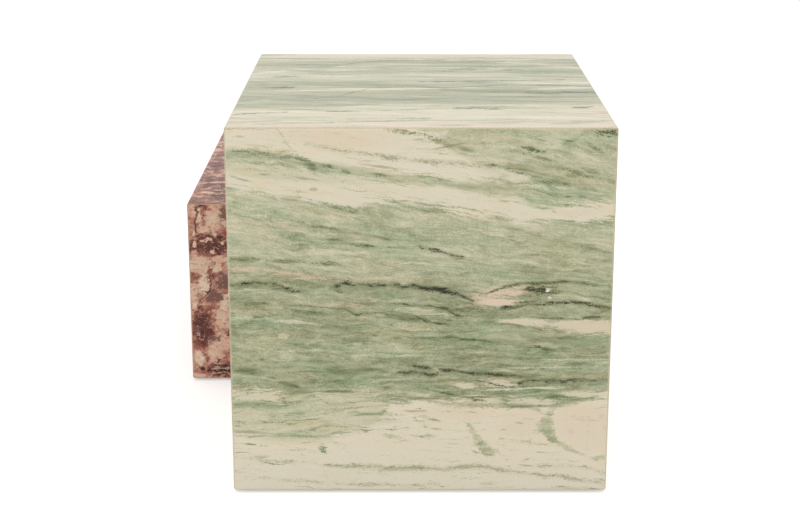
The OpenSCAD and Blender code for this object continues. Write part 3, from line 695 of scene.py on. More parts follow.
                (131, 32.5, 2.4, 0.9), (156, 31.9, 2.7, 0.7), (187, 30.2, 2.7, 0.8), (201, 30.2, 2.85, 0.9),
                (221, 30.8, 2.4, 0.8), (232, 29.3, 2.55, 0.9), (249, 30.7, 2.55, 0.9),
                (260, 32.2, 2.4, 0.9), (274, 32.4, 2.55, 0.9), (286, 32.4, 2.4, 0.9), (295, 29.1, 1.8, 0.8),
                (310, 27.5, 1.65, 0.8), (324, 24.7, 1.65, 0.8), (334, 23.8, 1.5, 0.9), (343, 22.8, 1.5, 1),
                (351, 20.4, 1.65, 0.9), (363, 21.7, 1.8, 0.8), (379, 18.6, 1.65, 0.9),
                (392, 15.8, 1.65, 0.8), (408, 12.8, 1.35, 0.6), (425, 11.3, 1.05, 0.3),
            ],
            [
                (339, 32.9, 1.05, 0), (349, 32.9, 1.65, 0.6), (378, 33.1, 1.65, 0.5),
                (397, 30.8, 1.65, 0.6), (411, 26.3, 1.5, 0.6), (425, 21.3, 1.35, 0.5),
            ],
            [
                (-1, 20.8, 0.9, 0.3), (31, 18.6, 0.9, 0.25), (53, 15.8, 1.2, 0.5), (71, 15.4, 1.5, 0.7),
                (82, 14, 1.2, 0.6), (93, 12.9, 1.2, 0.6), (109, 12.1, 0.9, 0.2), (138, 10.8, 1.5, 0.5),
                (161, 10.6, 1.65, 0.7), (178, 10.2, 1.5, 0.6), (193, 9.3, 1.35, 0.5), (211, 9.3, 1.35, 0.6),
                (225, 8, 0.6, 0),
            ],
        ]),
        ((128, 112, 84), 0.5, 1.6, [
            [(58, 418.2, 0.4, 1), (62, 411.1, 0.4, 1), (67, 403.3, 0.4, 1), (77, 392.2, 0.4, 0)],
        ]),
        ((186, 140, 92), 0.6, 2.4, [
            [
                (379, 88.5, 0.7, 0), (384, 88.5, 0.9, 0.6), (401, 88.1, 0.9, 0.5), (411, 88, 0.7, 0.2),
                (418, 86.8, 0.4, 0),
            ],
        ]),
        ((240, 234, 218), 1, 1.4, [[(346.6, 238.6, 0.8, 0), (348.6, 239, 1.7, 1), (350.6, 238.6, 0.8, 0)]]),
    ],
)

tallTopLook = dict(
    tallLook,
    axes=(("X", 1, 165), ("Y", 1, 435), ("Z", -1, 420)),
    edges=(("along", 1, 0), ("along", -1, 420), ("up", 1, 0), ("up", -1, 500)),
    shift=40, stretch=(5, 2.8), clouds=0.5, mottle=0.3, streaks=1, threads=0.85, flecks=0.3, specks=0.06,
    creamGrain=0.62, cool=0.15, solid=0.6, shine=0.22, cast=(252, 250, 246),
    slopes=((0, 0.04), (120, 0.05), (240, 0.06), (300, 0.05), (400, 0.06), (500, 0)),
    ground=((0, 0.6), (500, 0.6)),
    zones=[
        (0.84, 64, [
            (-8, 30, 62, 1), (100, 42, 70, 1), (210, 50, 76, 1), (320, 50, 74, 1), (428, 60, 78, 1),
        ]),
        (0.5, 56, [(-8, 162, 44, 0.9), (120, 166, 46, 0.9), (260, 184, 50, 0.9), (428, 190, 52, 0.9)]),
        (0.5, 40, [(-8, 404, 14, 0.7), (60, 420, 15, 0.9), (214, 434, 15, 1), (428, 434, 15, 1)]),
        (0.78, 32, [(-8, 480, 24, 1), (210, 480, 24, 1), (428, 480, 24, 1)]),
        (0.46, 19.2, [(148, 250, 6, 0), (170, 250, 12, 0.9), (212, 250, 12, 0.6), (240, 250, 8, 0)]),
        (0.82, 12, [
            (66, 218, 2, 0), (76, 221, 5, 0.9), (212, 233, 6, 1), (271, 237, 6, 0.9), (300, 238, 3, 0),
        ]),
        (0.82, 12, [(-6, 340, 6, 0.9), (59, 368, 5, 0.9), (80, 374, 3, 0)]),
        (0.8, 14.4, [(90, 387, 2, 0), (120, 394, 6, 0.8), (214, 418, 5, 0.8), (240, 420, 2, 0)]),
        (0.86, 16.8, [
            (296, 434, 3, 0), (320, 428, 10, 0.9), (370, 410, 12, 1), (411, 391, 10, 1), (428, 386, 8, 0.8),
        ]),
        (0.8, 14.4, [
            (110, 110, 2, 0), (130, 115, 6, 0.9), (211, 128, 7, 1), (259, 125, 6, 0.8), (330, 128, 5, 0.7),
            (350, 128, 2, 0),
        ]),
        (0.82, 12, [(340, 232, 2, 0), (356, 234, 5, 0.9), (428, 242, 6, 1)]),
        (0.36, 28, [(318, 352, 3, 0), (340, 354, 16, 0.7), (428, 354, 18, 0.8)]),
    ],
    marks=[
        (0.2, 0.95, [
            (49, 319, 13, 5.4, 0), (279, 380, 24, 9, 24), (327, 371, 10, 5.4, 0), (292, 106, 7, 5, 0),
            (268, 110, 14, 5, 0), (392, 114, 8, 5, 0), (357, 204, 17, 6.12, 0), (391, 208, 19, 5.4, 0),
            (235, 446, 12, 5.4, 0), (45, 242, 14, 5.4, 0), (102, 319, 1, 5, 0),
        ]),
        (0.86, 0.7, [(104, 319, 14, 4, 0), (346, 269, 17, 3, 0), (412, 275, 10, 2.4, 0)]),
    ],
    tints=[
        ((216, 194, 170), 0.4, [(61, 221, 17, 5, 0), (214, 486, 220, 20, 0), (210, 18, 230, 22, 0)]),
        ((130, 124, 92), 0.5, [(82, 342, 9, 5, 0), (244, 11, 17, 3, 0)]),
        ((190, 142, 96), 0.6, [(415, 81, 6, 4, 0)]),
    ],
    veins=[
        ((66, 64, 46), 0.9, 7, [
            [
                (48, 407, 1.4, 0), (56, 408, 2.2, 0.8), (104, 409, 2.4, 0.8), (161, 441, 2.7, 0.9),
                (214, 442, 2.4, 0.8), (224, 442, 1.4, 0),
            ],
            [
                (-4, 241, 1.4, 0.3), (10, 242, 1.9, 0.6), (34, 242, 2.2, 0.8), (56, 242, 3.2, 1),
                (62, 242, 1.4, 0),
            ],
            [
                (90, 166, 1.4, 0), (95, 170, 2.2, 0.8), (113, 181, 2.4, 0.9), (127, 201, 2.4, 0.9),
                (146, 229, 2.2, 0.8), (150, 236, 1.4, 0),
            ],
            [(2, 72, 1.4, 0), (8, 74, 2.4, 0.8), (61, 84, 2.4, 0.8), (68, 85, 1.4, 0)],
            [
                (106, 89, 1.4, 0), (112, 90, 2.4, 0.8), (131, 90, 2.4, 0.9), (145, 91, 1.9, 0.5),
                (211, 102, 2.4, 0.8), (222, 104, 1.4, 0),
            ],
            [(262, 437, 1.4, 0), (272, 438, 2.7, 0.8), (323, 439, 2.7, 0.8), (330, 439, 1.4, 0)],
            [
                (206, 279, 1.4, 0), (216, 280, 2.4, 0.6), (300, 289, 3, 0.9), (381, 297, 3.5, 1),
                (392, 298, 1.4, 0),
            ],
            [(234, 235, 1.4, 0), (242, 237, 2.2, 0.8), (312, 256, 2.7, 0.9), (320, 258, 1.4, 0)],
            [(352, 262, 1.4, 0), (362, 260, 2.7, 0.8), (424, 244, 2.7, 0.8)],
        ]),
        ((140, 140, 112), 0.75, 10, [
            [(-4, 20, 2.4, 0.6), (53, 36, 2.7, 0.8), (62, 38, 1.5, 0)],
            [(20, 14, 1.5, 0), (40, 18, 2.7, 0.8), (210, 39, 3, 0.8), (224, 41, 1.5, 0)],
            [(126, 48, 1.5, 0), (136, 49, 2.7, 0.7), (210, 50, 2.7, 0.7), (224, 50, 1.5, 0)],
            [(346, 18, 1.5, 0), (356, 21, 3, 0.8), (428, 42, 3, 0.8)],
            [(288, 24, 1.5, 0), (294, 24, 3, 0.7), (310, 25, 3, 0.7), (316, 25, 1.5, 0)],
        ]),
    ],
)

tallRightLook = dict(
    tallLook,
    axes=(("Y", 1, 435), ("Z", 1, 0), ("X", -1, 255)),
    edges=(("along", 1, 0), ("along", -1, 500), ("up", -1, 420), ("up", 1, -3)),
    shift=80, wildCream=(0.6, (180, 26, 90)),
    slopes=((0, -0.03), (90, -0.06), (180, 0.02), (260, 0.07), (330, 0.12), (420, 0.08)),
    zones=[
        (0.92, 12, [
            (-8, 331, 8, 1), (40, 336, 9, 1), (96, 345, 12, 1), (150, 352, 10, 0.9), (210, 356, 13, 1),
            (270, 364, 9, 1), (330, 369, 11, 0.9), (400, 382, 14, 1), (508, 392, 12, 1),
        ]),
        (0.93, 14, [
            (-8, 60, 60, 1), (50, 64, 58, 1), (110, 56, 52, 1), (170, 48, 44, 1), (230, 40, 40, 1),
            (300, 34, 42, 1), (370, 30, 38, 1), (440, 24, 34, 1), (508, 20, 30, 1),
        ]),
        (0.6, 8, [
            (-8, 352, 4, 0), (60, 357, 5, 0.8), (150, 369, 5, 0.9), (240, 379, 6, 0.9), (330, 388, 4, 0.8),
            (400, 402, 4, 0),
        ]),
    ],
    marks=[
        (0.22, 0.9, [
            (24, 238, 14, 2, 6), (70, 246, 17, 1.8, 8), (140, 212, 19, 2.2, 5), (226, 262, 16, 1.8, 12),
            (308, 236, 20, 2.4, 7), (390, 196, 15, 1.8, 4), (452, 284, 17, 2.2, 10), (180, 152, 18, 2, -3),
            (336, 128, 14, 2.4, 3), (90, 170, 12, 1.8, 2),
        ]),
        (0.84, 0.6, [
            (60, 204, 24, 2, 5), (168, 236, 28, 2.4, 8), (280, 196, 22, 2, 3), (420, 236, 26, 2.8, 9),
        ]),
    ],
    tints=[
        ((216, 192, 166), 0.45, [(44, 92, 36, 14, -2), (180, 66, 44, 12, -3), (352, 352, 34, 6, 6)]),
        ((122, 116, 84), 0.45, [(120, 302, 20, 1.3, 10), (252, 312, 24, 1.4, 12), (402, 332, 20, 1.3, 8)]),
    ],
    veins=[
        ((38, 38, 24), 0.95, 4.8, [
            [
                (-8, 218, 1.1, 0.8), (30, 214, 1.4, 1), (72, 220, 1.2, 0.9), (118, 230, 1, 0.7),
                (150, 233, 0.6, 0),
            ],
            [
                (-8, 134, 0.8, 0.5), (36, 137, 1.2, 0.9), (88, 133, 1.3, 1), (142, 127, 1, 0.7),
                (170, 125, 0.6, 0),
            ],
            [
                (190, 176, 0.6, 0), (214, 180, 1.3, 0.9), (262, 188, 1.5, 1), (318, 186, 1.1, 0.9),
                (352, 190, 0.6, 0),
            ],
            [
                (296, 262, 0.6, 0), (326, 268, 1.2, 0.9), (380, 280, 1.6, 1), (436, 290, 1.2, 0.9),
                (508, 306, 1, 0.7),
            ],
            [(362, 150, 0.6, 0), (394, 154, 1.2, 0.9), (448, 150, 1.4, 1), (508, 142, 1, 0.7)],
        ]),
        ((142, 142, 108), 0.7, 6, [
            [
                (-8, 11, 1.2, 0.4), (54, 20, 1.8, 0.7), (130, 26, 2.25, 0.9), (210, 20, 1.8, 0.8),
                (300, 24, 2.1, 0.9), (400, 15, 1.65, 0.7), (508, 10, 1.2, 0.5),
            ],
            [(20, 82, 1.2, 0), (60, 86, 2.1, 0.8), (124, 78, 2.25, 0.8), (180, 72, 1.2, 0)],
        ]),
    ],
)

tallLeftLook = dict(
    tallLook,
    axes=(("Y", -1, 65), ("Z", 1, 0), ("X", 1, 165)),
    edges=(("along", 1, 0), ("along", -1, 500), ("up", -1, 420), ("up", 1, -3)),
    shift=120, wildCream=(0.6, (180, 26, 90)),
    slopes=((0, 0.02), (90, 0.04), (180, 0.05), (260, 0.09), (330, 0.12), (420, 0.06)),
    zones=[
        (0.95, 12, [
            (-8, 388, 10, 1), (110, 396, 14, 1), (220, 400, 12, 0.9), (330, 405, 17, 1), (420, 410, 15, 1),
            (508, 410, 16, 1),
        ]),
        (0.6, 8, [
            (-8, 362, 6, 0.6), (130, 371, 7, 0.9), (260, 377, 6, 0.9), (380, 384, 9, 1), (508, 385, 9.4, 1),
        ]),
        (0.92, 10, [
            (-8, 330, 12, 1), (120, 342, 10, 1), (240, 350, 14, 1), (360, 357, 10, 1), (440, 362, 12, 1),
            (508, 364, 11.1, 1),
        ]),
        (0.93, 14, [
            (-8, 52, 48, 1), (90, 44, 44, 1), (200, 50, 40, 1), (320, 42, 42, 1), (420, 40, 38, 1),
            (508, 37, 40, 1),
        ]),
    ],
    marks=[
        (0.22, 0.9, [
            (60, 224, 16, 2, 5), (140, 268, 18, 1.8, 7), (232, 214, 15, 2.4, 4), (322, 280, 20, 2, 8),
            (418, 240, 16, 2.2, 5), (470, 150, 14, 2.6, -4), (280, 146, 18, 1.8, 2), (96, 128, 12, 2, 3),
        ]),
        (0.84, 0.6, [
            (80, 190, 26, 2.2, 4), (204, 246, 24, 2, 6), (380, 196, 28, 2.6, 4), (460, 208, 20, 1.8, 3),
        ]),
    ],
    tints=[
        ((216, 192, 166), 0.45, [(140, 60, 44, 10, 2), (366, 96, 30, 5, 2), (300, 404, 50, 9, 3)]),
        ((122, 116, 84), 0.45, [(90, 300, 22, 1.3, 8), (262, 322, 20, 1.4, 9), (420, 312, 24, 1.2, 6)]),
    ],
    veins=[
        ((38, 38, 24), 0.95, 4.8, [
            [
                (120, 158, 0.6, 0), (150, 162, 1.3, 0.9), (212, 168, 1.5, 1), (268, 172, 1.2, 0.9),
                (300, 174, 0.6, 0),
            ],
            [
                (300, 236, 0.6, 0), (340, 240, 1.2, 0.9), (408, 246, 1.6, 1), (470, 250, 1.3, 0.9),
                (508, 246, 1, 0.7),
            ],
            [(-8, 268, 1, 0.7), (40, 274, 1.4, 1), (96, 282, 1.2, 0.9), (150, 288, 0.6, 0)],
        ]),
        ((142, 142, 108), 0.7, 6, [
            [
                (-8, 24, 1.5, 0.5), (90, 30, 2.1, 0.8), (200, 24, 2.25, 0.9), (300, 34, 1.8, 0.8),
                (400, 40, 1.95, 0.8), (508, 46, 1.65, 0.4),
            ],
        ]),
    ],
)

tallBackLook = dict(
    tallLook,
    axes=(("X", -1, 255), ("Z", 1, 0), ("Y", -1, 65)),
    edges=(("along", 1, 0), ("along", -1, 420), ("up", -1, 420), ("up", 1, -3)),
    shift=160, wildCream=(0.59, (200, 28, 90)),
    slopes=((0, -0.02), (90, 0.02), (180, 0.04), (260, -0.04), (330, -0.09), (420, -0.06)),
    zones=[
        (0.92, 12, [
            (-8, 392, 12, 1), (70, 386, 10, 1), (150, 378, 14, 1), (230, 372, 10, 0.9), (320, 380, 13, 1),
            (428, 388, 10, 1),
        ]),
        (0.6, 8, [
            (-8, 368, 6, 0.8), (100, 360, 5, 0.9), (220, 350, 6, 0.9), (340, 356, 5, 0.7),
            (428, 362, 5, 0.6),
        ]),
        (0.93, 14, [
            (-8, 20, 30, 1), (90, 26, 34, 1), (190, 38, 40, 1), (300, 46, 46, 1), (428, 52, 48, 1),
        ]),
    ],
    marks=[
        (0.22, 0.9, [
            (50, 236, 16, 2.2, -4), (132, 290, 18, 1.8, -6), (216, 226, 16, 2.4, -3), (302, 274, 17, 2, -5),
            (372, 196, 14, 2.2, 2), (250, 150, 16, 1.8, 2), (84, 142, 13, 2, -2),
        ]),
        (0.84, 0.6, [(96, 202, 26, 2.2, -3), (212, 264, 24, 2, -5), (344, 236, 26, 2.6, -4)]),
    ],
    tints=[
        ((216, 192, 166), 0.45, [(250, 70, 44, 10, 3), (120, 388, 40, 8, -5), (330, 60, 34, 8, 2)]),
        ((122, 116, 84), 0.45, [(140, 322, 22, 1.3, -7), (300, 316, 20, 1.4, -6)]),
    ],
    veins=[
        ((38, 38, 24), 0.95, 4.8, [
            [
                (40, 176, 0.6, 0), (76, 180, 1.3, 0.9), (140, 186, 1.6, 1), (206, 188, 1.2, 0.9),
                (250, 190, 0.6, 0),
            ],
            [
                (160, 252, 0.6, 0), (196, 250, 1.2, 0.9), (262, 244, 1.6, 1), (340, 238, 1.3, 0.9),
                (428, 232, 1, 0.6),
            ],
            [(-8, 306, 1, 0.7), (44, 302, 1.4, 1), (110, 294, 1.2, 0.9), (150, 290, 0.6, 0)],
        ]),
        ((142, 142, 108), 0.7, 6, [
            [
                (-8, 10, 1.5, 0.5), (90, 16, 2.1, 0.8), (200, 26, 2.25, 0.9), (300, 32, 1.8, 0.8),
                (428, 24, 1.65, 0.5),
            ],
        ]),
    ],
)


# red marble of broken pieces, or streaked where it is cut along its bed
redMarble = {
    "tones": [
        (0.00, (54, 28, 24)), (0.16, (90, 46, 40)), (0.32, (125, 68, 60)), (0.46, (164, 104, 90)),
        (0.60, (200, 152, 132)), (0.75, (222, 186, 164)), (0.90, (230, 202, 178)), (1.00, (240, 218, 200)),
    ],
    # painted highlight along the eased edges: its tone and how strongly it is mixed in
    "edgeHighlightTone": (208, 174, 150),
    "edgeHighlightShare": 0.6,
    "rustTone": (174, 112, 92),
    "roseTone": (255, 234, 230),
    "fleckTone": (221, 188, 168),
    "seamTone": (62, 38, 30),
    "hueSize": (13, 9, 12),
    "speckSize": (1.6, 1.4, 1.6),
    "crumbSize": (7, 5.6, 6),
    "seamSize": (9, 9, 9),
    "threads": (                    # size, seed, tone, and where in the ground they fade in
        (1, 17, (128, 82, 66), 0.5, 0.66),
        (0.8, 18, (222, 186, 166), 0.46, 0.3),
    ),
}


def redStone(name, look):
    material, tree = newMaterial(name)
    along, up, _, place = faceAxes(tree, look["axes"])
    shift = look["shift"]
    red = redMarble
    bent = stir(tree, place, look["bendSize"], look["bendReach"], shift)
    ragged = stir(tree, bent, look["swirlSize"], look["swirlReach"], shift + 3, 4)

    # broken pieces, each of its own tone
    cellPlace = {"Vector": spread(tree, ragged, look["pieces"], shift), "Scale": 1}
    own = put(tree, "SeparateColor", {0: put(tree, "TexVoronoi", cellPlace).outputs[1]})
    ground = calc(tree, "SUBTRACT", own.outputs[0], 0.5)
    ground = calc(tree, "MULTIPLY_ADD", ground, look["contrast"], look["ground"])
    cloud = grainOf(tree, ragged, look["cloudSize"], 6, 0.66, shift + 1)
    ground = calc(tree, "MULTIPLY_ADD", cloud, look["clouds"], ground)
    nearby = stir(tree, place, (10, 7, 8), (13, 11, 0), shift + 5, 4)
    speck = grainOf(tree, place, red["speckSize"], 2, 0.6, shift + 6)
    crumb = grainOf(tree, ragged, red["crumbSize"], 3, 0.55, shift + 13)
    fray = summed(tree, (crumb, 1.5), (speck, 0.25))
    for aim, share, marks in look["marks"]:
        mask = frayed(tree, marksNear(tree, nearby, marks), fray, 0.28, 0.68)
        ground = mixValue(tree, calc(tree, "MULTIPLY", mask, share), ground, aim)
    grain = grainOf(tree, ragged, look["grainSize"], 4, 0.65, shift + 2)
    ground = calc(tree, "MULTIPLY_ADD", grain, look["grain"], ground)
    ground = calc(tree, "MULTIPLY_ADD", speck, look["specks"], ground)
    colour = ramp(tree, ground, red["tones"])

    # rust and rose clouds, mauve pieces and crimson stains
    hue = noise(tree, ragged, red["hueSize"], 4, 0.6, shift + 9)
    rust = calc(tree, "MULTIPLY", fade(tree, hue, 0.5, 0.66, 0, look["rust"]), fade(tree, ground, 0.9, 0.45))
    colour = mixColour(tree, rust, colour, tone(red["rustTone"]))
    rose = fade(tree, hue, 0.5, 0.38, 0, 0.8)
    colour = mixColour(tree, rose, colour, tone(red["roseTone"]), "MULTIPLY")
    mauve = calc(tree, "MULTIPLY", fade(tree, own.outputs[1], look["mauve"], look["mauve"] + 0.05), 0.55)
    colour = mixColour(tree, mauve, colour, tone(look["mauveTone"]))
    for shade, share, marks in look["tints"]:
        mask = frayed(tree, marksNear(tree, nearby, marks), fray, 0.4, 0.6)
        colour = mixColour(tree, calc(tree, "MULTIPLY", mask, share), colour, tone(shade))

    # thin wavy threads, brown in the pale parts and rose in the dark ones
    patchy = fade(tree, calc(tree, "MULTIPLY_ADD", crumb, 3, hue), 0.35, 0.6)
    for scale, seed, shade, start, end in red["threads"]:
        off = grainOf(tree, ragged, [s * scale for s in look["threadSize"]], 2, 0.5, shift + seed)
        line = fade(tree, calc(tree, "ABSOLUTE", off), 0.014, 0.003, 0, look["threads"])
        line = calc(tree, "MULTIPLY", line, fade(tree, ground, start, end))
        colour = mixColour(tree, calc(tree, "MULTIPLY", line, patchy), colour, tone(shade))

    # pale flecks and the dark seams between the pieces
    fleck = noise(tree, ragged, look["fleckSize"], 3, 0.6, shift + 7)
    fleck = fade(tree, fleck, look["flecks"], look["flecks"] + 0.05)
    colour = mixColour(tree, calc(tree, "MULTIPLY", fleck, 0.8), colour, tone(red["fleckTone"]))
    seams = put(tree, "TexVoronoi", cellPlace, feature="DISTANCE_TO_EDGE").outputs[0]
    seam = calc(tree, "MULTIPLY", fade(tree, seams, 0.055, 0.015), look["seams"])
    here = fade(tree, noise(tree, place, red["seamSize"], 3, 0.6, shift + 8), 0.42, 0.56)
    colour = mixColour(tree, calc(tree, "MULTIPLY", seam, here), colour, tone(red["seamTone"]))
    run, rise = bothWays(tree, nearby)
    for shade, share, soft, veins in look["veins"]:
        for upright, points in veins:
            ways = (rise, run) if upright else (run, rise)
            near = bandNear(tree, *ways, points, soft)
            mask = calc(tree, "MULTIPLY", frayed(tree, near, fray, 0.36, 0.66), share)
            colour = mixColour(tree, mask, colour, tone(shade))
    if "cast" in look:
        colour = mixColour(tree, 1, colour, tone(look["cast"]), "MULTIPLY")

    polishWithEdgeHighlight(tree, look, red, colour, along, up, place, speck)
    return material


# here a vein says first whether it stands upright. if so, its points are up, along, half its width, strength
lowLook = {
    "bendSize": (90, 60, 80), "bendReach": (40, 30, 0), "swirlSize": (11, 9, 10), "swirlReach": (20, 18, 0),
    "pieces": (26, 19, 22), "contrast": 0.22, "ground": 0.56, "cloudSize": (95, 48, 80), "clouds": 1.75,
    "grainSize": (8, 6, 7), "grain": 0.55, "specks": 0.2, "mauve": 0.86, "mauveTone": (130, 92, 82),
    "rust": 0.3, "fleckSize": (6, 3.4, 6), "flecks": 0.63, "seams": 0.3, "threadSize": (22, 16, 18),
    "threads": 0.7, "shine": 0.25,
    "marks": [],
    "tints": [],
    "veins": [],
}

lowFrontLook = dict(
    lowLook,
    axes=(("X", 1, 255), ("Z", 1, 0), ("Y", 1, 65)),
    edges=(("along", 1, 0), ("up", -1, 245), ("up", 1, -3)),
    shift=200, bendSize=(30, 22, 30), bendReach=(10, 8, 0), swirlSize=(9, 7, 8), swirlReach=(15, 13, 0),
    pieces=(14, 10, 14), contrast=0.2, ground=0.54, cloudSize=(22, 16, 20), clouds=0.9, grainSize=(7, 6, 7),
    grain=0.5, mauve=1.1, mauveTone=(134, 94, 84), rust=0.35, fleckSize=(3.8, 2.7, 4), flecks=0.61,
    threadSize=(17, 13, 15),
    marks=[
        (0.13, 0.9, [
            (21.9, 226.9, 2, 2.4, 0), (28.4, 188.9, 26.5, 14.1, 0), (9.2, 147.4, 7.3, 4.2, 0),
            (15.2, 74.8, 14.1, 26, 0), (18.7, 32.2, 2.2, 5.1, 0), (28, 157.3, 2.7, 3.4, 0),
        ]),
        (0.84, 0.9, [
            (6.5, 235.7, 4, 7.8, 0), (33.3, 224.9, 9.4, 16.5, 0), (48.8, 219.8, 6.1, 4.8, 0),
            (19.9, 210.4, 8.1, 4.7, 0), (15.6, 161.3, 13.7, 12.8, 0), (42.1, 169.4, 12.8, 4.7, 0),
            (6.2, 127.4, 5.2, 14.5, 0), (42.1, 88.3, 12.8, 15.1, 0), (42.1, 53.2, 12.8, 10.6, 0),
            (30.3, 37.9, 9.4, 15.8, 0), (10.5, 7.1, 9.4, 3.8, 0),
        ]),
        (0.96, 0.9, [
            (16.1, 227.1, 3, 9.4, 0), (7.8, 205.2, 1.3, 3.8, 0), (35.8, 202.7, 3, 3, 0),
            (23.9, 195.9, 6.8, 2.4, 8), (43.8, 192.3, 3.7, 2, 0), (9.2, 189.6, 2.2, 3.4, 0),
            (31.5, 179.4, 3.8, 2.1, 0), (19, 132.3, 7, 13.4, 0), (6.2, 106.9, 3.4, 6, 0),
            (38.4, 123.8, 3, 3.1, 0), (47, 118.9, 4.8, 2.6, 0), (44.8, 106.9, 6, 6.9, 0),
            (9.2, 35.3, 6.4, 11.6, 0), (38.1, 157.7, 4.7, 5.1, 0),
        ]),
        (0, 0.9, [
            (16.5, 241.3, 7.4, 1.3, 0), (43.1, 200.8, 3.4, 2.4, 0), (49.6, 67.8, 2.1, 4.7, 0),
            (35.3, 27.1, 2.6, 3.5, 0), (13.8, 16.9, 3.3, 4.2, 0), (22.6, 15.3, 2.7, 4, 0),
            (53.3, 107.5, 1.6, 4.7, 0), (40.5, 17.2, 14.4, 9, 0),
        ]),
    ],
    tints=[
        ((120, 84, 76), 0.92, [
            (48.5, 234.3, 6.3, 9.8, 0), (45.1, 139.1, 9.8, 12.1, 0), (31.3, 119.4, 11.4, 8.2, 0),
            (29.4, 59.8, 7.7, 4.3, 0),
        ]),
        ((158, 66, 56), 0.75, [
            (50.7, 208.2, 4.2, 6.8, 0), (51.5, 45.2, 3.3, 2.6, 0), (9.5, 46.5, 7.6, 3.9, 0),
        ]),
    ],
    veins=[
        ((40, 26, 20), 0.9, 2, [
            (True, [
                (204, 10.6, 0.6, 0), (208.3, 10.5, 1, 1), (217.7, 10.1, 1, 1), (227.1, 11.8, 1, 1),
                (238.3, 12.2, 1, 1), (241, 12.2, 0.6, 0),
            ]),
            (True, [
                (116, 19, 0.6, 0), (118.2, 19.9, 0.9, 0.9), (127, 26, 1, 1), (146.5, 26.6, 0.9, 0.9),
                (149, 26.6, 0.6, 0),
            ]),
            (False, [
                (8, 103, 0.6, 0), (10.5, 106, 1, 0.9), (17.2, 116.3, 1, 1), (26, 124.1, 1, 1),
                (32, 127.6, 0.8, 0.9), (34, 128, 0.6, 0),
            ]),
        ]),
        ((214, 182, 160), 0.7, 2, [
            (False, [
                (24, 18.6, 0.6, 0), (28, 18, 0.8, 0.9), (36, 19.4, 0.9, 1), (45, 17.6, 0.8, 1),
                (54, 19, 0.7, 0.9),
            ]),
            (False, [
                (24, 12, 0.6, 0), (30, 11.2, 0.8, 0.9), (38, 12.6, 0.9, 1), (47, 11, 0.8, 1),
                (54, 12.2, 0.7, 0.9),
            ]),
        ]),
    ],
)

lowLeftLook = dict(
    lowLook,
    axes=(("Y", -1, 435), ("Z", 1, 0), ("X", 1, 255)),
    edges=(("along", 1, 0), ("along", -1, 500), ("up", -1, 245), ("up", 1, -3)),
    shift=240,
    marks=[
        (0.14, 0.8, [(150, 60, 90, 15, 6), (420, 190, 70, 16, -10), (300, 120, 34, 9, 20)]),
        (0.86, 0.8, [(60, 190, 70, 26, 8), (300, 215, 60, 14, 0), (380, 70, 80, 26, -12)]),
    ],
    veins=[
        ((44, 30, 24), 0.85, 2, [
            (True, [
                (110, 204, 0.6, 0), (134, 212, 1, 0.9), (176, 206, 1, 1), (214, 220, 0.9, 0.9),
                (242, 216, 0.6, 0),
            ]),
            (False, [
                (236, 60, 0.6, 0), (262, 74, 1, 0.9), (318, 82, 1, 1), (372, 112, 0.9, 0.8),
                (398, 116, 0.6, 0),
            ]),
        ]),
    ],
)

lowRightLook = dict(
    lowLook,
    axes=(("Y", 1, 65), ("Z", 1, 0), ("X", -1, 165)),
    edges=(("along", -1, 500), ("up", -1, 245), ("up", 1, -3)),
    shift=280,
    marks=[
        (0.14, 0.8, [(330, 150, 90, 16, -8), (130, 60, 70, 14, 10)]),
        (0.86, 0.8, [(140, 180, 80, 24, 6), (420, 60, 70, 22, -6)]),
    ],
    veins=[
        ((44, 30, 24), 0.85, 2, [
            (True, [
                (4, 380, 0.6, 0), (40, 388, 1, 0.9), (92, 376, 1, 1), (140, 392, 0.9, 0.9),
                (168, 388, 0.6, 0),
            ]),
            (False, [
                (90, 120, 0.6, 0), (130, 126, 1, 0.9), (190, 110, 1, 1), (250, 122, 0.9, 0.8),
                (280, 118, 0.6, 0),
            ]),
        ]),
    ],
)

lowBackLook = dict(
    lowLook,
    axes=(("X", -1, 165), ("Z", 1, 0), ("Y", -1, 435)),
    edges=(("along", 1, 0), ("along", -1, 420), ("up", -1, 245), ("up", 1, -3)),
    shift=320,
    marks=[
        (0.14, 0.8, [(110, 120, 70, 14, 12), (330, 50, 70, 16, -4), (380, 200, 50, 12, 8)]),
        (0.86, 0.8, [(90, 40, 70, 20, 4), (260, 180, 80, 26, -8)]),
    ],
    veins=[
        ((44, 30, 24), 0.85, 2, [
            (True, [
                (60, 236, 0.6, 0), (96, 226, 1, 0.9), (150, 240, 1, 1), (206, 228, 0.9, 0.9),
                (240, 234, 0.6, 0),
            ]),
            (False, [(20, 190, 0.6, 0), (60, 182, 1, 0.9), (118, 198, 1, 1), (150, 194, 0.6, 0)]),
        ]),
    ],
)

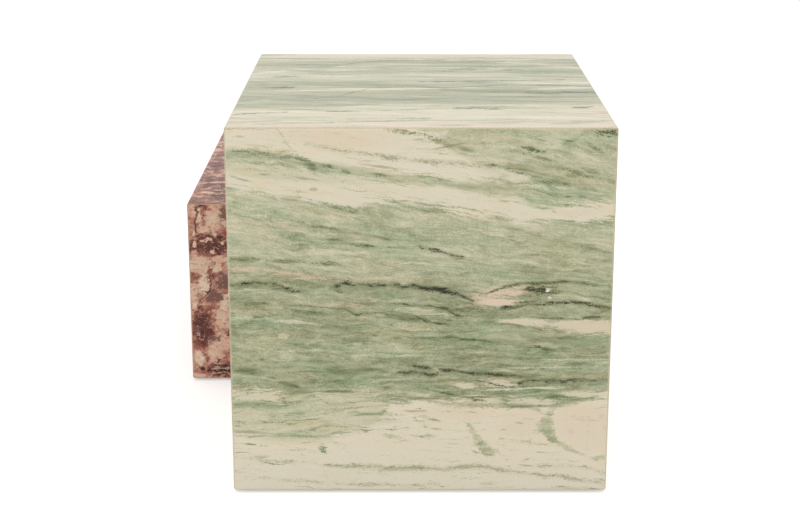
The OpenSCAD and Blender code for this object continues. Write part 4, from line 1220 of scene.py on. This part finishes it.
lowTopLook = dict(
    lowLook,
    axes=(("X", 1, 255), ("Y", 1, 65), ("Z", -1, 245)),
    edges=(("along", 1, 0), ("along", -1, 420), ("up", 1, 0), ("up", -1, 500)),
    shift=360, bendSize=(60, 60, 50), bendReach=(24, 24, 0), swirlSize=(14, 12, 10), swirlReach=(20, 24, 0),
    pieces=(40, 30, 30), contrast=0.34, ground=0.46, cloudSize=(60, 44, 60), clouds=1.7,
    grainSize=(14, 12, 10), grain=1.1, specks=0.15, mauve=0.62, mauveTone=(112, 74, 64), rust=0.15,
    fleckSize=(15, 15, 12), flecks=0.55, seams=0.5, threadSize=(30, 22, 20), threads=1,
    cast=(246, 234, 222), shine=0.08,
    marks=[
        (0.2, 0.85, [
            (62, 205, 22, 9, 8), (80, 245, 14, 8, -20), (22, 92, 12, 6, 0), (48, 44, 22, 6, 0),
            (74, 310, 14, 9, 0), (200, 420, 60, 14, 12), (340, 330, 50, 12, -8), (120, 330, 40, 10, 4),
            (300, 460, 40, 10, 0),
        ]),
        (0.92, 0.9, [
            (30, 120, 14, 5, 0), (56, 152, 16, 6, 0), (18, 62, 9, 5, 0), (76, 104, 12, 6, 0),
            (64, 272, 10, 8, 0), (40, 174, 12, 6, 0), (76, 22, 12, 4, 0), (30, 12, 20, 3, 0),
            (260, 360, 50, 10, -6), (160, 470, 40, 9, 8),
        ]),
    ],
)


# an object's own place in millimetres
def ownPlace(tree):
    where = put(tree, "TexCoord")
    return where, put(tree, "VectorMath", {0: where.outputs["Object"], 3: 1000}, operation="SCALE").outputs[0]


birch = {
    "faceTones": [(0.3, (196, 162, 118)), (0.5, (218, 188, 146)), (0.68, (232, 208, 170))],
    "fleckTone": (176, 136, 92),
    "plyTones": ((222, 194, 152), (172, 130, 88)),
    "poreTone": (140, 100, 64),
    "grainSize": {"X": (9, 3.4, 120), "Y": (3.4, 9, 120), "Z": (120, 3.4, 9)},
}


# birch plywood: grain on the faces, plies on the edges
def plyWood(name, thickAxis, start, ply):
    material, tree = newMaterial(name)
    where, place = ownPlace(tree)
    grainSize = birch["grainSize"][thickAxis]
    grain = noise(tree, place, grainSize, 5, 0.6, 3)
    face = ramp(tree, grain, birch["faceTones"])
    fleck = fade(tree, noise(tree, place, [s * 0.5 for s in grainSize], 3, 0.6, 9), 0.62, 0.7)
    face = mixColour(tree, calc(tree, "MULTIPLY", fleck, 0.35), face, tone(birch["fleckTone"]))
    apart = put(tree, "SeparateXYZ", {0: place})
    layer = calc(tree, "MULTIPLY_ADD", apart.outputs[thickAxis], 1 / ply, -start / ply)
    cross = calc(tree, "MODULO", calc(tree, "FLOOR", calc(tree, "ADD", layer, 40)), 2)
    end = mixColour(tree, cross, *[tone(colour) for colour in birch["plyTones"]])
    pores = noise(tree, place, (1.2, 1.2, 1.2), 3, 0.6, 5)
    end = mixColour(tree, fade(tree, pores, 0.5, 0.7, 0, 0.4), end, tone(birch["poreTone"]))
    normal = put(tree, "SeparateXYZ", {0: where.outputs["Normal"]})
    onFace = calc(tree, "GREATER_THAN", calc(tree, "ABSOLUTE", normal.outputs[thickAxis]), 0.6)
    rough = calc(tree, "MULTIPLY_ADD", grain, 0.2, 0.5)
    finishMaterial(tree, mixColour(tree, onFace, end, face), rough, grain)
    return material


pineLook = {
    "tones": [
        (0.3, (190, 140, 86)), (0.48, (226, 188, 134)), (0.6, (236, 206, 158)), (0.72, (204, 158, 104)),
    ],
    "knotTone": (126, 78, 42),
    "ringSize": (5, 5, 320),
    "knotSize": (34, 34, 90),
}


def pineWood(name):
    material, tree = newMaterial(name)
    place = ownPlace(tree)[1]
    bent = stir(tree, place, (40, 40, 160), (8, 8, 0), 2)
    rings = noise(tree, bent, pineLook["ringSize"], 3, 0.5, 4)
    colour = ramp(tree, rings, pineLook["tones"])
    knotPlace = spread(tree, bent, pineLook["knotSize"], 6)
    knots = put(tree, "TexVoronoi", {"Vector": knotPlace, "Scale": 1}).outputs[0]
    colour = mixColour(tree, fade(tree, knots, 0.1, 0.05), colour, tone(pineLook["knotTone"]))
    finishMaterial(tree, colour, calc(tree, "MULTIPLY_ADD", rings, 0.2, 0.5), rings)
    return material


# a clouded finish between two tones, with its clouds in millimetres
def plainFinish(name, dark, light, cloudSize, rough, depth, metal=0):
    material, tree = newMaterial(name)
    place = ownPlace(tree)[1]
    cloud = noise(tree, place, [cloudSize] * 3, 4, 0.6, 1)
    colour = ramp(tree, cloud, [(0.3, dark), (0.7, light)])
    fine = noise(tree, place, [cloudSize * 0.2] * 3, 3, 0.6, 7)
    finishMaterial(tree, colour, calc(tree, "MULTIPLY_ADD", cloud, 0.2, rough), fine, depth, Metallic=metal)
    return material


# pieces
smoothAngle = 32        # degrees. a sharper edge than this stays sharp
drillSides = 48


def only(piece):
    bpy.ops.object.select_all(action="DESELECT")
    piece.select_set(True)
    bpy.context.view_layer.objects.active = piece


def boxOf(low, high):
    bpy.ops.object.select_all(action="DESELECT")
    bpy.ops.mesh.primitive_cube_add(size=1, location=(low + high) / 2, scale=high - low)
    return bpy.context.object


def blockOf(name, low, high, sizes):
    block = boxOf(low, high)
    block.name = name
    bpy.ops.object.transform_apply(location=True, rotation=True, scale=True)
    bpy.ops.object.mode_set(mode="EDIT")
    bpy.ops.mesh.select_all(action="SELECT")
    bpy.ops.mesh.bevel(offset=sizes["arris"], segments=sizes["segments"], affect="EDGES")
    bpy.ops.object.mode_set(mode="OBJECT")
    return block


def copyOf(piece, name):
    only(piece)
    bpy.ops.object.duplicate()
    bpy.context.object.name = name
    return bpy.context.object


# cuts away the side that the normal points to
def cut(piece, point, normal):
    only(piece)
    bpy.ops.object.mode_set(mode="EDIT")
    bpy.ops.mesh.select_all(action="SELECT")
    bpy.ops.mesh.bisect(plane_co=point, plane_no=normal, use_fill=True, clear_outer=True, threshold=1e-6)
    bpy.ops.object.mode_set(mode="OBJECT")


def carve(piece, cutter):
    only(piece)
    hollow = piece.modifiers.new("carve", "BOOLEAN")
    hollow.operation = "DIFFERENCE"
    hollow.solver = "EXACT"
    hollow.object = cutter
    bpy.ops.object.modifier_apply(modifier=hollow.name)


def discard(piece):
    only(piece)
    bpy.ops.object.delete()


outward = {
    "front": Vector((0, -1, 0)),
    "right": Vector((1, 0, 0)),
    "back": Vector((0, 1, 0)),
    "left": Vector((-1, 0, 0)),
    "top": Vector((0, 0, 1)),
}


def besides(face):
    return [other for other in outward if other != face and outward[other] != -outward[face]]


# the direction in which a mitre between two faces is cut
def mitre(face, other):
    return (outward[other] - outward[face]).normalized()


# a point of the block's skin, on both faces where there are two
def skinPoint(low, high, *faces):
    point = (low + high) / 2
    for face in faces:
        for axis in range(3):
            if outward[face][axis]:
                point[axis] = high[axis] if outward[face][axis] > 0 else low[axis]
    return point


# leaves only what lies within a slab's thickness of a face
def thin(piece, face, low, high, thick):
    cut(piece, skinPoint(low, high, face) - outward[face] * thick, -outward[face])


def slabOf(block, name, face, low, high, sizes):
    slab = copyOf(block, name)
    thin(slab, face, low, high, sizes["thick"])
    for other in besides(face):
        normal = mitre(face, other)
        cut(slab, skinPoint(low, high, face, other) - normal * sizes["joint"] / 2, normal)
    return slab


# one strip of filler in each mitre, set a little below the stone
def fillerOf(name, low, high, sizes):
    sunk = Vector([sizes["recess"]] * 3)
    width = sizes["joint"] * sizes["fillerShare"]
    core = blockOf(name + "_core", low + sunk, high - sunk, sizes)
    strips = []
    faces = list(outward)
    for number, face in enumerate(faces):
        for other in faces[number + 1:]:
            if other not in besides(face):
                continue
            strip = copyOf(core, name)
            normal = mitre(face, other)
            corner = skinPoint(low, high, face, other)
            cut(strip, corner + normal * width, normal)
            cut(strip, corner - normal * width, -normal)
            thin(strip, face, low, high, sizes["thick"])
            thin(strip, other, low, high, sizes["thick"])
            for third in besides(face):
                if third in besides(other):
                    cut(strip, skinPoint(low, high, face, third), mitre(face, third))
            if len(strip.data.vertices):
                strips.append(strip)
            else:
                discard(strip)
    discard(core)
    only(strips[0])
    for strip in strips:
        strip.select_set(True)
    bpy.ops.object.join()
    return bpy.context.object


def drill(piece, centre, radius, length, turn):
    bpy.ops.object.select_all(action="DESELECT")
    turn = [math.radians(t) for t in turn]
    bpy.ops.mesh.primitive_cylinder_add(
        vertices=drillSides, radius=radius, depth=length, location=centre, rotation=turn
    )
    cutter = bpy.context.object
    carve(piece, cutter)
    discard(cutter)


def finishPiece(piece, slotName, material, *nodes):
    only(piece)
    bpy.ops.object.shade_smooth_by_angle(angle=math.radians(smoothAngle))
    weighted = piece.modifiers.new("weighted", "WEIGHTED_NORMAL")
    weighted.keep_sharp = True
    bpy.ops.object.modifier_apply(modifier=weighted.name)
    piece.data.materials.clear()
    piece.data.materials.append(material)
    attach(piece, "root")
    if nodes:
        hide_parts(*nodes)
    print("finished", piece.name, len(piece.data.polygons), "faces")


# a block of mitred slabs, each over its node, with filler in the mitres. opened cuts holes in them
def buildBlock(block, low, high, sizes, stone, looks, opened):
    whole = blockOf(block + "_whole", low, high, sizes)
    for face, look in looks.items():
        name = block + "_" + face + "_slab"
        slab = slabOf(whole, "marble_" + name, face, low, high, sizes)
        opened(slab, face)
        finishPiece(slab, sizes["stone"], stone(sizes["stone"] + "_" + face, look), name)
    discard(whole)
    filler = fillerOf("marble_" + block + "_joint_filler", low, high, sizes)
    opened(filler, "joints")
    finishPiece(filler, sizes["stone"], plainFinish(*sizes["filler"]))


# the tall block of green marble
tallBlock = {
    "stone": "green_marble",
    "arris": 0.003,
    "segments": 5,
    "thick": 0.020,
    "joint": 0.0005,
    "recess": 0.0004,
    "fillerShare": 0.48,            # of the joint's width, to each side of its middle
    # name, dark and light tone, size of the clouds in millimetres, roughness, depth of the grain
    "filler": ("cream_filler", (176, 164, 134), (206, 192, 160), 14, 0.45, 0.0001),
    "boltHole": 0.009,
    "drillLength": 0.06,
    "boltRows": (0.080, 0.170),
    "boltBack": (-0.080, 0.080),
    "boltLeft": (-0.0065,),
}

tallLow = Vector((
    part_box("tall_left_slab")[0].x,
    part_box("tall_front_slab")[0].y,
    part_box("tall_front_slab")[0].z,
))
tallHigh = Vector((
    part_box("tall_right_slab")[1].x,
    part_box("tall_back_slab")[1].y,
    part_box("tall_top_slab")[1].z,
))


# holes for the bolts that go through the back and left slabs
def drillTall(piece, face):
    radius = tallBlock["boltHole"] / 2
    length = tallBlock["drillLength"]
    half = tallBlock["thick"] / 2
    for height in tallBlock["boltRows"]:
        if face == "back":
            for x in tallBlock["boltBack"]:
                drill(piece, (x, tallHigh.y - half, height), radius, length, (90, 0, 0))
        if face == "left":
            for y in tallBlock["boltLeft"]:
                drill(piece, (tallLow.x + half, y, height), radius, length, (0, 90, 0))


tallLooks = {
    "front": tallFrontLook,
    "right": tallRightLook,
    "back": tallBackLook,
    "left": tallLeftLook,
    "top": tallTopLook,
}
buildBlock("tall", tallLow, tallHigh, tallBlock, greenStone, tallLooks, drillTall)
print("tall block done")

# the low block of red marble, notched round the tall block
lowBlock = {
    "stone": "red_marble",
    "arris": 0.003,
    "segments": 5,
    "thick": 0.020,
    "joint": 0.0005,
    "recess": 0.0004,
    "fillerShare": 0.48,
    "filler": ("rose_filler", (150, 104, 86), (186, 140, 116), 14, 0.45, 0.0001),
    "notchSpare": 0.05,             # how far the cutter of the notch reaches past the block
}

lowLow = Vector((
    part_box("low_left_slab")[0].x,
    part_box("low_front_slab")[0].y,
    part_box("low_front_slab")[0].z,
))
lowHigh = Vector((
    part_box("low_right_slab")[1].x,
    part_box("low_back_slab")[1].y,
    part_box("low_top_slab")[1].z,
))
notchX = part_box("low_front_slab")[1].x
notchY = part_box("low_right_slab")[0].y
spare = lowBlock["notchSpare"]
notchLow = Vector((notchX, lowLow.y - spare, lowLow.z - spare))
notchHigh = Vector((lowHigh.x + spare, notchY, lowHigh.z + spare))
notch = boxOf(notchLow, notchHigh)


def notchLowBlock(piece, face):
    if face in ("front", "right", "top", "joints"):
        carve(piece, notch)


lowLooks = {
    "front": lowFrontLook,
    "right": lowRightLook,
    "back": lowBackLook,
    "left": lowLeftLook,
    "top": lowTopLook,
}
buildBlock("low", lowLow, lowHigh, lowBlock, redStone, lowLooks, notchLowBlock)
discard(notch)
print("low block done")

# the carcasses and their fittings stay as the frame has them, with finishes of their own
inside = {
    "ply": 0.00136,
    "boards": {
        "Z": ("tall_core_top", "tall_base_board", "low_core_top", "low_base_board"),
        "Y": (
            "tall_core_front", "tall_core_back", "tall_rib",
            "low_core_front", "low_core_back", "low_notch_back",
        ),
        "X": (
            "tall_core_right", "tall_core_left",
            "low_core_right", "low_core_left", "low_notch_side", "low_rib",
        ),
    },
    "pine": ("tall_battens", "low_battens", "low_arm_block"),
    "zinc": (
        "joining_bolts", "joining_washers", "joining_nuts", "side_screws", "base_screws", "glide_screws",
    ),
    # name, dark and light tone, size of the clouds in millimetres, roughness, depth of the grain, metal
    "zincFinish": ("zinc_plate", (150, 152, 154), (196, 198, 200), 3, 0.3, 0.00004, 1),
    "glideFinish": ("black_nylon", (20, 20, 21), (34, 34, 35), 4, 0.45, 0.00005),
    "padFinish": ("grey_felt", (88, 88, 90), (128, 128, 130), 1.6, 0.8, 0.0004),
}


def paint(name, material):
    node = bpy.data.objects[name]
    if not node.material_slots:
        node.data.materials.append(material)
    for slot in node.material_slots:
        slot.material = material


for axis, names in inside["boards"].items():
    for name in names:
        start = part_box(name)[0]["XYZ".index(axis)] * 1000
        paint(name, plyWood("birch_" + name, axis, start, inside["ply"] * 1000))
pine = pineWood("pine_battens")
for name in inside["pine"]:
    paint(name, pine)
zinc = plainFinish(*inside["zincFinish"])
for name in inside["zinc"]:
    paint(name, zinc)
paint("glides", plainFinish(*inside["glideFinish"]))
paint("felt_pads", plainFinish(*inside["padFinish"]))
print("insides done")

# plain studio
studio = {
    "world": 0.76,                  # light from all round
    "lamps": {                      # watts, size, place, tilt
        "overhead": (26, 3.2, (0.2, -0.3, 2.8), (0, 0, 0)),
        "front": (22, 3.0, (-0.6, -3.2, 1.6), (68, 0, -10)),
    },
    "floorSize": 24,
    "floorColour": (233, 232, 230),
    "floorLift": 0.42,              # what the camera sees on top of the lit floor, so that it is white
    "cameraPlace": (0.0226, -2.1894, 0.7732),
    "cameraTilt": 73.939,
    "cameraLens": 75.68,
    "cameraSensor": 36,
}


# the rays that find the studio white: the camera's own, and those it sees in or through a thing
def seenRays(tree):
    path = put(tree, "LightPath")
    kinds = ("Camera", "Glossy", "Transmission")
    return pick(tree, "MAXIMUM", [path.outputs["Is " + kind + " Ray"] for kind in kinds])


bpy.ops.object.select_all(action="DESELECT")
bpy.ops.mesh.primitive_plane_add(size=studio["floorSize"], location=(0, 0, 0))
floor = bpy.context.object
floor.name = "studio_floor"
material, tree = newMaterial("floor_paint")
diffuse = put(tree, "BsdfDiffuse", {"Color": tone(studio["floorColour"])})
glow = calc(tree, "MULTIPLY", seenRays(tree), studio["floorLift"])
lift = put(tree, "Emission", {"Color": (1, 1, 1, 1), "Strength": glow})
both = put(tree, "AddShader", {0: diffuse.outputs[0], 1: lift.outputs[0]})
put(tree, "OutputMaterial", {0: both.outputs[0]})
floor.data.materials.append(material)

world = bpy.data.worlds.new("studio_world")
bpy.context.scene.world = world
world.use_nodes = True
tree = world.node_tree
tree.nodes.clear()
sky = put(tree, "Background", {0: (1, 1, 1, 1), 1: mixValue(tree, seenRays(tree), studio["world"], 1)})
put(tree, "OutputWorld", {0: sky.outputs[0]})

for name, (watts, size, place, tilt) in studio["lamps"].items():
    bpy.ops.object.light_add(type="AREA", location=place, rotation=[math.radians(t) for t in tilt])
    lamp = bpy.context.object
    lamp.name = name + "_lamp"
    lamp.data.energy = watts
    lamp.data.size = size

turn = (math.radians(studio["cameraTilt"]), 0, 0)
bpy.ops.object.camera_add(location=studio["cameraPlace"], rotation=turn)
camera = bpy.context.object
camera.data.lens = studio["cameraLens"]
camera.data.sensor_width = studio["cameraSensor"]
scene = bpy.context.scene
scene.camera = camera
scene.view_settings.view_transform = "Standard"
print("studio done")
